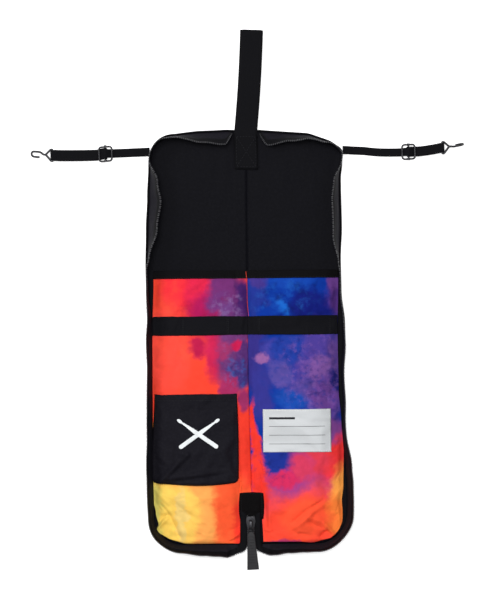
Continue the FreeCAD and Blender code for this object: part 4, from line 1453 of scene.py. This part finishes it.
def centre_thread(surface, material):
    """The loose end of bright thread that lies along the seam between the pockets."""
    path = []
    for number in range(41):
        share = number / 40
        x = mix(-1.6, 0.8, share) * MM + 0.35 * MM * math.sin(share * 7)
        y = mix(MOUTH - 0.5 * MM, ELASTIC[1].y - 1 * MM, share)
        path.append(Vector((x, y, surface.height(x, y) + 0.45 * MM)))
    thread = tube("centre_thread", path, 0.24 * MM, material, sides=8)
    finished(thread, "pocket_fabric", body="spine")


# --- zipper end patch, slider and pull ----------------------------------------------


def end_patch(surface, material, thread):
    """The black patch that is sewn over the zipper's end."""
    low = PATCH[0] - Vector((1.4, 2.4, 0)) * MM
    high = PATCH[1] + Vector((1.4, 0.9, 0)) * MM
    middle = MIDDLE_STRAY

    def place(s, t):
        across = 2 * s - 1
        x = middle + mix(low.x, high.x, s) * (0.93 + 0.07 * math.sin(math.pi * t))
        y = mix(low.y, high.y, t) + 0.8 * MM * across**2 * (1 - 2 * t)
        edge = 1 - max(abs(across), abs(2 * t - 1)) ** 6
        ridge = math.exp(-(across * 1.6) ** 2) * (1 - 0.6 * t)
        crease = 0.35 * MM * wobble(x, y, 51, 6 * MM)
        base = max(surface.height(x, y) + 0.2 * MM, low.z)
        return Vector((x, y, base + 0.5 * MM + (1.6 * MM * ridge + crease + 0.5 * MM) * edge))

    patch = sheet("end_patch", 30, 30, place, material)
    thicken(patch, 0.7 * MM)
    finished(patch, "accessory_fabric", "zipper_end_patch", body="spine")
    top = Surface(patch)
    inset = 1.6 * MM
    left, right = middle + low.x * 0.93 + inset, middle + high.x * 0.93 - inset
    corners = [(left, low.y + inset), (left, high.y - inset), (right, high.y - inset),
               (right, low.y + inset)]
    path = laid_path(top, corners, 0.08 * MM)
    row = stitch_row("patch_stitches", path, thread, 1.9 * MM, 0.7 * MM, 0.2 * MM)
    finished(row, "accessory_fabric", body="spine")


def plate(name, outline, low, high, material, bevel=0.3 * MM):
    """A flat plate with softened edges: outline holds (x, y) in metres."""
    shape = bmesh.new()
    base = [shape.verts.new((x, y, low)) for x, y in outline]
    face = shape.faces.new(base)
    grown = bmesh.ops.extrude_face_region(shape, geom=[face])
    for vertex in (v for v in grown["geom"] if isinstance(v, bmesh.types.BMVert)):
        vertex.co.z = high
    bmesh.ops.recalc_face_normals(shape, faces=shape.faces)
    rims = [e for e in shape.edges if abs(e.verts[0].co.z - e.verts[1].co.z) < 1e-7]
    bmesh.ops.bevel(shape, geom=rims, offset=bevel, segments=3, affect="EDGES", profile=0.6)
    mesh = bpy.data.meshes.new(name)
    shape.to_mesh(mesh)
    shape.free()
    store_cloth(mesh)
    return new_object(name, mesh, material)


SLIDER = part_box("zip_slider")
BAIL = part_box("zip_slider_bail")
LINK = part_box("pull_link")
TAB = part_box("pull_tab")
PULL_TILT = math.radians(3)


def mirrored_outline(right):
    """A closed outline from its right half, listed from the bottom to the top."""
    path = rounded([(x, y, 0) for x, y in right] + [(-x, y, 0) for x, y in reversed(right)],
                   0.9 * MM, closed=True, steps=4)
    return [(p.x, p.y) for p in path]


def zip_slider(metal):
    """Two bell-shaped plates on a wedge, a bridge over them and its round foot."""
    top, foot = SLIDER[1].y + 2 * MM, SLIDER[0].y - 1 * MM
    half = SLIDER[1].x + 0.3 * MM
    bell = [(2.3 * MM, foot), (3.3 * MM, foot + 2.6 * MM), (half, top - 6.2 * MM),
            (half * 0.97, top - 3 * MM), (half * 0.86, top)]
    outline = mirrored_outline(bell)
    upper = plate("slider_top_plate", outline, SLIDER[1].z - 1.0 * MM, SLIDER[1].z, metal)
    lower = plate("slider_bottom_plate", outline, SLIDER[0].z, SLIDER[0].z + 1.0 * MM, metal)
    wedge = mirrored_outline([(0.8 * MM, foot + 4 * MM), (1.7 * MM, top - 3 * MM),
                              (1.2 * MM, top - 0.3 * MM)])
    middle = plate("slider_wedge", wedge, SLIDER[0].z + 0.8 * MM, SLIDER[1].z - 0.8 * MM, metal,
                   0.1 * MM)
    height = SLIDER[1].z
    arch_path = through([(0, BAIL[1].y + 0.5 * MM, height - 0.3 * MM),
                         (0, BAIL[1].y, height + 1.2 * MM),
                         (0, BAIL[1].y - 2.4 * MM, BAIL[1].z - 0.5 * MM),
                         (0, BAIL[0].y + 2.4 * MM, BAIL[1].z - 0.4 * MM),
                         (0, BAIL[0].y + 0.2 * MM, height + 1.2 * MM),
                         (0, BAIL[0].y, height - 0.3 * MM)], 6)
    bridge = ribbon("slider_bridge", arch_path, Vector((1, 0, 0)), 3.6 * MM, 0.9 * MM, metal)
    knob = round_knob("slider_foot", Vector((0, foot + 2.4 * MM, height)), 2.9 * MM, 1.5 * MM,
                      metal)
    slider = join("slider_body", [upper, lower, middle, bridge, knob])
    slider.data.transform(Matrix.Translation((PULL_STRAY, 0, 0)))
    finished(slider, "dark_metal", "zip_slider", "zip_slider_bail", body="slider")


def round_knob(name, centre, radius, height, material):
    """A low domed button."""
    rings, turns = 8, 28
    points = []
    for ring in range(rings):
        level = math.pi / 2 * ring / (rings - 1)
        for turn in range(turns):
            angle = 2 * math.pi * turn / turns
            wide = radius * math.cos(level * 0.97)
            points.append(centre + Vector((math.cos(angle) * wide, math.sin(angle) * wide,
                                           height * math.sin(level))))
    return mesh_piece(name, points, ring_faces(0, rings, turns), material)


def zip_pull(metal, soft):
    """The ring through the bridge and the rubber tab moulded on it."""
    half = LINK[1].x - 0.6 * MM
    height = (LINK[0].z + LINK[1].z) / 2
    near, far = LINK[1].y - 0.6 * MM, LINK[0].y + 0.6 * MM
    ring_path = rounded([(half, near, height), (half, far, height), (-half, far, height),
                         (-half, near, height)], 0.8 * MM, closed=True)
    ring = tube("pull_ring", ring_path, 0.6 * MM, metal, closed=True)
    ring.data.transform(Matrix.Translation((PULL_STRAY, 0, 0)))
    finished(ring, "dark_metal", "pull_link", body="pull")
    foot, top = TAB[0].y, TAB[1].y
    wide = TAB[1].x
    outline = mirrored_outline([(wide, foot), (4.05 * MM, top - 4 * MM), (2.9 * MM, top - 1.6 * MM),
                                (1.7 * MM, top - 0.1 * MM)])
    tab = plate("pull_grip", outline, TAB[0].z, TAB[1].z, soft, 0.45 * MM)
    hung = Matrix.Translation((PULL_STRAY, top, 0)) @ Matrix.Rotation(PULL_TILT, 4, "Z")
    hung = hung @ Matrix.Translation((0, -top, 0))
    tab.data.transform(hung)
    finished(tab, "pull_rubber", "pull_tab", body="pull")
    ribs = []
    for number in range(9):
        y = mix(foot + 8 * MM, top - 9 * MM, number / 8)
        share = (top - y) / (top - foot)
        reach = mix(4.0 * MM, wide, share) * 0.55
        path = [(-reach, y, TAB[1].z), (reach, y, TAB[1].z)]
        ribs.append(tube(f"pull_rib_{number}", path, 0.42 * MM, soft, sides=12))
    middle = mix(foot, top, 0.5)
    rim = [(x * 0.86, middle + (y - middle) * 0.94, TAB[1].z)
           for x, y in mirrored_outline([(wide, foot), (4.05 * MM, top - 4.6 * MM)])]
    ribs.append(tube("pull_rim", rim, 0.3 * MM, soft, closed=True))
    raised = join("pull_ribs", ribs)
    raised.data.transform(hung)
    finished(raised, "pull_rubber", body="pull")


# --- straps -------------------------------------------------------------------------

STRAP_ROOT = Vector((107.6, 205.5, 0)) * MM
STRAP_LEAN = math.radians(1.4)
# How far a strap lies off its straight line, by the distance out, in millimetres.
STRAP_BEND = {
    "left": [(0, 0), (47, 0.3), (58, 1.6), (80, 1.4), (98, 0.8), (105, 0.2), (113, -0.8),
             (131, -2.2)],
    "right": [(0, 0), (21, -1.6), (41, -4.0), (56, -4.6), (84, -4.2), (97, -2.6), (107.7, -1.2),
              (116, 0), (133, 2)],
}
SINGLE_WIDTH = {"left": 9.6 * MM, "right": 9.2 * MM}
DOUBLE_WIDTH = {"left": 12.2 * MM, "right": 11 * MM}
STRAP_CLOTH = 1.15 * MM
ADJUSTER_AT = {"left": 47 * MM, "right": 70.5 * MM}
BAR_AT = {"left": 105 * MM, "right": 107.7 * MM}
HOOK_ROLL = {"left": 0, "right": math.radians(80)}
ADJUSTER_HEIGHT = 4.6 * MM
BAR_HEIGHT = 4.375 * MM
HOOK_WIRE = 1.2 * MM


def strap_axes(name):
    """The level directions along a strap, away from the bag, and across it."""
    turn = STRAP_LEAN + (math.pi if name == "left" else 0)
    return direction(turn), direction(turn + math.pi / 2)


def strap_place(name, out, up, aside=0.0):
    """A point by its distance out along a strap, its height and its place across."""
    along, across = strap_axes(name)
    root = Vector((STRAP_ROOT.x * SIDES[name], STRAP_ROOT.y, 0))
    aside += stepped(STRAP_BEND[name], out / MM) * MM
    return root + along * out + across * aside + Vector((0, 0, up))


def strap(name, webbing, metal):
    """The single webbing from the seam to the adjuster, the doubled loop and the metal."""
    across = strap_axes(name)[1]
    slide = ADJUSTER_AT[name]
    bar = BAR_AT[name]
    # Distances out and heights in millimetres; a is the adjuster's place and b the bar's
    a, b = slide / MM, bar / MM
    single = [(-1.5, 3.6), (3, 2.0), (9, 1.15)]
    single += [(mix(9, a - 12, i / 4), 1.0 + 0.35 * math.sin(i * 1.9)) for i in (1, 2, 3)]
    single += [(a - 11, 1.5), (a - 7, 2.9), (a - 3.6, 4.9), (a, 7.35), (a + 1.2, 7.1)]
    path = through([strap_place(name, out * MM, up * MM) for out, up in single])
    outer = ribbon(f"{name}_strap", path, across, SINGLE_WIDTH[name], STRAP_CLOTH, webbing)
    strap_place(name, 6 * MM, 0)
    strap_place(name, slide - 9 * MM, 0)
    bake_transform(outer)
    finished(outer, "webbing", f"{name}_strap_webbing")
    doubled = [(a + 0.3, 7.3), (a + 3.6, 5.0), (a + 7, 3.0), (a + 12, 3.1),
               (mix(a, b, 0.5), 3.9), (b - 8, 5.3), (b - 2, 6.25), (b + 1.35, 5.75),
               (b + 1.9, 4.4), (b + 1.35, 3.0), (b - 2, 2.45), (b - 9, 1.75),
               (mix(a, b, 0.5), 1.2), (a + 12, 1.65), (a + 7, 1.7), (a + 3, 2.1), (a, 2.95),
               (a - 1.3, 3.45), (a - 1.7, 4.6), (a - 1.2, 5.8), (a, 6.2), (a + 1.6, 5.2)]
    path = through([strap_place(name, out * MM, up * MM) for out, up in doubled], 6)
    gathered = 9.3 * MM / DOUBLE_WIDTH[name]
    ring = 8 / len(doubled)

    def taper(share):
        """The webbing is drawn together where it turns round the hook's bar."""
        return mix(gathered, 1, between(abs(share - ring), 0, 0.1))

    loop = ribbon(f"{name}_loop", path, across, DOUBLE_WIDTH[name], STRAP_CLOTH * 0.95, webbing,
                  taper)
    strap_place(name, slide + 8 * MM, 0)
    strap_place(name, bar - 8 * MM, 0)
    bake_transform(loop)
    finished(loop, "webbing", f"{name}_strap_loop")
    adjuster(name, metal)
    hook(name, metal)


def adjuster(name, metal):
    """A wire frame with rounded corners and a bar across it whose ends stand proud."""
    slide = ADJUSTER_AT[name]
    length, width = 7 * MM, 7.9 * MM
    corners = [strap_place(name, slide + x * length, ADJUSTER_HEIGHT, y * width)
               for x, y in ((1, 1), (-1, 1), (-1, -1), (1, -1))]
    frame_wire = tube(f"{name}_adjuster_frame", rounded(corners, 3.2 * MM, closed=True), 1.0 * MM,
                      metal, closed=True, sides=16)
    bar_path = [strap_place(name, slide, ADJUSTER_HEIGHT, y * (width + 0.9 * MM))
                for y in (-1, -0.5, 0, 0.5, 1)]
    cross = tube(f"{name}_adjuster_bar", bar_path, 1.0 * MM, metal, sides=16)
    collars = []
    for end in (-1, 1):
        path = [strap_place(name, slide, ADJUSTER_HEIGHT, end * (width + reach * MM))
                for reach in (-1.3, 1.3)]
        collars.append(tube(f"{name}_collar_{end}", path, 1.45 * MM, metal, sides=16))
    whole = join(f"{name}_adjuster_wire", [frame_wire, cross] + collars)
    soften(whole)
    finished(whole, "dark_metal", f"{name}_adjuster", body=f"{name}_adjuster")


def soften(piece, width=0.25 * MM):
    """Rounds the sharp rims where wires end."""
    bevel = piece.modifiers.new("rims", "BEVEL")
    bevel.width = width
    bevel.segments = 3
    bevel.limit_method = "ANGLE"
    bevel.angle_limit = math.radians(50)


def hook(name, metal):
    """One bent wire: a triangle round the loop of webbing, a neck and an open bend."""
    bar = BAR_AT[name]
    half = 6.3
    triangle = [(0, half), (1.8, half), (7.2, 0.5), (7.2, -0.5), (1.8, -half), (0, -half)]
    corners = [strap_place(name, bar + x * MM, BAR_HEIGHT, y * MM) for x, y in triangle]
    frame_wire = tube(f"{name}_hook_frame", rounded(corners, 1.7 * MM, closed=True), HOOK_WIRE,
                      metal, closed=True, sides=16)
    roll = HOOK_ROLL[name]
    bend = 2.8
    centre = 20.3
    side_path = [(6.4, 0), (8.8, 0), (10.8, -0.7), (12.6, -2.3), (14.5, -bend), (17.5, -bend - 0.1),
                 (centre, -bend)]
    side_path += [(centre + bend * math.sin(t), -bend * math.cos(t))
                  for t in (math.radians(step) for step in (30, 60, 90, 120, 150))]
    side_path += [(centre, bend), (17, bend + 0.2), (14.2, bend - 0.1)]
    path = []
    for out, aside in side_path:
        path.append(strap_place(name, bar + out * MM, BAR_HEIGHT + aside * MM * math.sin(roll),
                                aside * MM * math.cos(roll)))
    open_bend = tube(f"{name}_hook_bend", through(path, 6), HOOK_WIRE * 0.96, metal, sides=16)
    whole = join(f"{name}_hook_wire", [frame_wire, open_bend])
    soften(whole, 0.5 * MM)
    finished(whole, "dark_metal", f"{name}_hook", body=f"{name}_hook")


# --- build --------------------------------------------------------------------------

# Spots and flecks of dye as dyed() takes them, in millimetres from the bag's middle.
LEFT_DYE = [
    (-72, 50, 26, 40, "ee2f3a"), (-52, 50, 20, 34, "dc2548"), (-44, 26, 22, 26, "b01a58"),
    (-26, 54, 22, 30, "723070"), (-30, 40, 14, 14, "703477"), (-20, 28, 12, 14, "704286"),
    (-5, 34, 13, 40, "3c1c5e"), (-58, -8, 14, 14, "b81c48"), (-36, -14, 14, 34, "c82450"),
    (-16, -16, 22, 52, "6c3470"), (-2, -24, 10, 30, "532c6c"), (-27, -12, 9, 12, "9e3265"),
    (-13, -7, 8, 9, "c41c4e"),
    (-12, -40, 13, 17, "3f2e72"), (-24, -52, 9, 18, "a92d5f"), (-88, -10, 26, 60, "fb4c3e"),
    (-6, -105, 22, 50, "e83a2a"), (-8, -66, 10, 12, "962d5f"), (-60, -220, 90, 62, "fb6834"),
    (-34, -190, 12, 50, "fb7a40"), (-54, -190, 20, 56, "fba656"), (-96, -196, 40, 56, "f8cf60"),
    (-72, -196, 14, 50, "fbc95e"), (-76, -196, 6, 40, "ecc976"),
    (-106, -196, 12, 50, "decf69"), (-20, -190, 24, 50, "f85a32"),
    (-12, -205, 10, 34, "ec3a2a"), (-108, -115, 6, 44, "fba040"),
]
LEFT_FLECKS = [
    (-22, 28, 20, 22, 8, 0.5, "987eb5"), (-14, -36, 16, 22, 7, 0.6, "2a64b1"),
    (-26, 44, 26, 26, 10, 0.35, "512565"), (-44, 30, 30, 40, 10, 0.3, "8a1038"),
    (-84, 20, 30, 60, 16, 0.25, "ff6038"), (-18, -14, 18, 40, 9, 0.35, "8b5698"),
]
RIGHT_DYE = [
    (12, 50, 14, 40, "20328b"), (14, 66, 12, 14, "423486"), (48, 64, 30, 12, "1140a3"),
    (70, 34, 26, 22, "111b73"), (100, 50, 16, 34, "563484"), (96, 62, 10, 10, "6e4291"),
    (40, 32, 9, 8, "165fc0"), (26, 28, 18, 10, "0a3498"), (6, -20, 16, 46, "342e80"),
    (84, -34, 40, 52, "4b3b91"), (30, -18, 14, 20, "423f98"), (19, -23, 9, 7, "915e9b"),
    (46, -12, 22, 18, "203996"), (36, -40, 16, 18, "514898"), (78, -34, 16, 12, "774f96"),
    (96, -22, 10, 22, "5f428d"), (62, -56, 18, 16, "514291"), (86, -62, 20, 22, "67408d"),
    (96, -50, 8, 12, "20206c"), (46, -68, 20, 14, "1848a6"), (14, -60, 14, 34, "34348b"),
    (60, -236, 96, 98, "fb4a34"), (98, -130, 36, 34, "f03636"), (84, -100, 24, 20, "7d448d"),
    (64, -134, 30, 18, "d83a4c"), (40, -142, 30, 30, "923c87"), (54, -142, 18, 16, "d03a5c"),
    (22, -132, 26, 26, "1e328f"), (3, -88, 5, 24, "e8362c"), (5, -118, 7, 26, "ea382c"),
    (8, -145, 10, 24, "ee3a2e"), (10, -170, 16, 20, "ee3a2e"), (34, -154, 18, 10, "d02c5c"),
    (102, -180, 18, 44, "fba048"), (92, -196, 16, 26, "fb8038"), (60, -196, 30, 26, "fb5434"),
    (40, -228, 32, 8, "ad3669"),
]
RIGHT_FLECKS = [
    (56, 40, 50, 36, 12, 0.7, "0a155e"), (40, 40, 40, 30, 13, 0.35, "256cc7"),
    (96, 40, 16, 30, 9, 0.5, "42256c"), (74, -40, 44, 60, 8, 0.55, "8158a3"),
    (60, -50, 50, 44, 7, 0.6, "14358f"), (84, -50, 30, 44, 6, 0.5, "272068"),
    (26, -136, 26, 26, 8, 0.5, "182065"), (44, -10, 30, 26, 8, 0.5, "0d1865"),
]
SHELL_DYE = {
    "left": [(-70, 150, 70, 70, "d8246a"), (-30, 90, 60, 60, "7a2f90"), (-95, 60, 40, 60, "f04a30"),
             (-20, 190, 50, 60, "3a2f95"), (-60, -20, 60, 60, "1c44b4"), (-95, -60, 40, 60, "6a3a98"),
             (-20, -90, 50, 70, "c0306c"), (-80, -170, 60, 60, "fa8a3c"), (-30, -200, 50, 50, "f6cf60")],
    "right": [(60, 170, 70, 60, "1a3fae"), (30, 90, 50, 60, "5b3a9c"), (95, 80, 40, 70, "a83a86"),
              (20, 0, 40, 60, "e8383c"), (80, -10, 50, 60, "fa7a38"), (50, -90, 60, 60, "f5c95c"),
              (95, -130, 40, 60, "f0403a"), (20, -170, 50, 60, "8a3690"), (80, -210, 60, 40, "2b3fa4")],
}

left_dye = dyed("left_pocket_dye", "fa4632", LEFT_DYE, LEFT_FLECKS)
right_dye = dyed("right_pocket_dye", "083293", RIGHT_DYE, RIGHT_FLECKS)
shell_dye = {name: dyed(f"{name}_shell_dye", "c02a60", SHELL_DYE[name]) for name in SIDES}
lining_cloth = black_cloth("lining_cloth", "0b0b10", 0.6 * MM, 0.62, 0.3)
gusset_cloth = black_cloth("gusset_cloth", "18171d", 0.6 * MM, 0.66, 0.3)
rim_cloth = black_cloth("rim_cloth", "0c0b0e", 0.6 * MM, 0.7, 0.1)
pouch_cloth = black_cloth("pouch_cloth", "17161c", 0.5 * MM, 0.68, 0.2)
patch_cloth = black_cloth("patch_cloth", "070607", 0.5 * MM, 0.7, 0.3)
tape_cloth = black_cloth("tape_cloth", "0d0d10", 0.9 * MM, 0.7, 0.1, turn=math.radians(45))
binding_cloth = webbing_cloth("binding_cloth", "0c0b0d", 0.8 * MM)
elastic_cloth = webbing_cloth("elastic_cloth", "101014", 1.0 * MM)
strap_cloth = webbing_cloth("strap_cloth", "0d0d10", 1.4 * MM)
coil_nylon = nylon("coil_nylon", "3c3c40")
metal = coated_metal("coated_metal", "2c2c2f")
slider_metal = coated_metal("slider_metal", "29292c")
grip_rubber = rubber("grip_rubber", "19181c")
card = paper("label_paper")
emblem_print = plain("emblem_print", "e6eaec", 0.6)
ink = plain("label_ink", "26272c", 0.7)
black_thread = plain("black_thread", "1d1d21", 0.6)
white_thread = plain("white_thread", "e4e6e8", 0.7)
seam_thread = plain("seam_thread", "e2452f", 0.7)

pockets = {}
for name in SIDES:
    shell_half(name, shell_dye[name], rim_cloth)
    lining_half(name, lining_cloth)
    gusset_half(name, gusset_cloth)
    zipper_half(name, tape_cloth, coil_nylon)
    pockets[name] = pocket_half(name, left_dye if name == "left" else right_dye)
for name in SIDES:
    over = Surface(pockets[name])
    binding_half(name, over, binding_cloth, black_thread)
    elastic_half(name, over, elastic_cloth, black_thread)
accessory(Surface(pockets["left"]), pouch_cloth, black_thread, emblem_print)
owner_label(Surface(pockets["right"]), card, ink, white_thread)
handle(strap_cloth, black_thread)
end_patch(Surface(*pockets.values()), patch_cloth, black_thread)
centre_thread(Surface(*[bpy.data.objects[f"{name}_{part}"] for name in SIDES
                        for part in ("binding", "pocket")]), seam_thread)
zip_slider(slider_metal)
zip_pull(slider_metal, grip_rubber)
for name in SIDES:
    strap(name, strap_cloth, metal)


# --- floor, light and camera --------------------------------------------------------

FLOOR_SIZE = 8
FLOOR_DROP = 0.4 * MM
SKY_STRENGTH = 0.28

bpy.ops.mesh.primitive_plane_add(size=FLOOR_SIZE, location=(0, 0, -FLOOR_DROP))
floor = bpy.context.object
floor.name = "floor"
floor.data.materials.append(backdrop("floor_white"))

world = bpy.data.worlds.new("studio")
bpy.context.scene.world = world
world.use_nodes = True
sky = world.node_tree.nodes["Background"]
sky.inputs["Color"].default_value = (1, 1, 1, 1)
sky.inputs["Strength"].default_value = SKY_STRENGTH


def area_light(name, place, aim, size, power):
    data = bpy.data.lights.new(name, "AREA")
    data.size = size
    data.energy = power
    light = bpy.data.objects.new(name, data)
    light.location = place
    light.rotation_mode = "QUATERNION"
    light.rotation_quaternion = (Vector(aim) - Vector(place)).to_track_quat("-Z", "Y")
    bpy.context.scene.collection.objects.link(light)


area_light("top", (-0.25, 0.45, 2.5), (0, 0, 0), 1.0, 46)
area_light("key", (-1.5, 0.9, 1.6), (0, 0, 0), 0.7, 14)
area_light("fill", (1.5, 0.5, 2.0), (0, 0, 0), 1.2, 7)

VIEW_HEIGHT = 0.66
VIEW_DISTANCE = 2.4
VIEW_CENTRE = (2.1 * MM, 41.8 * MM)
VIEW_TURN = math.radians(-0.55)
SENSOR = 36
camera_data = bpy.data.cameras.new("camera")
camera_data.sensor_width = SENSOR
camera_data.lens = SENSOR * VIEW_DISTANCE / VIEW_HEIGHT
camera = bpy.data.objects.new("camera", camera_data)
camera.location = (*VIEW_CENTRE, VIEW_DISTANCE)
camera.rotation_euler = (0, 0, VIEW_TURN)
bpy.context.scene.collection.objects.link(camera)
bpy.context.scene.camera = camera
bpy.context.scene.view_settings.view_transform = "Standard"
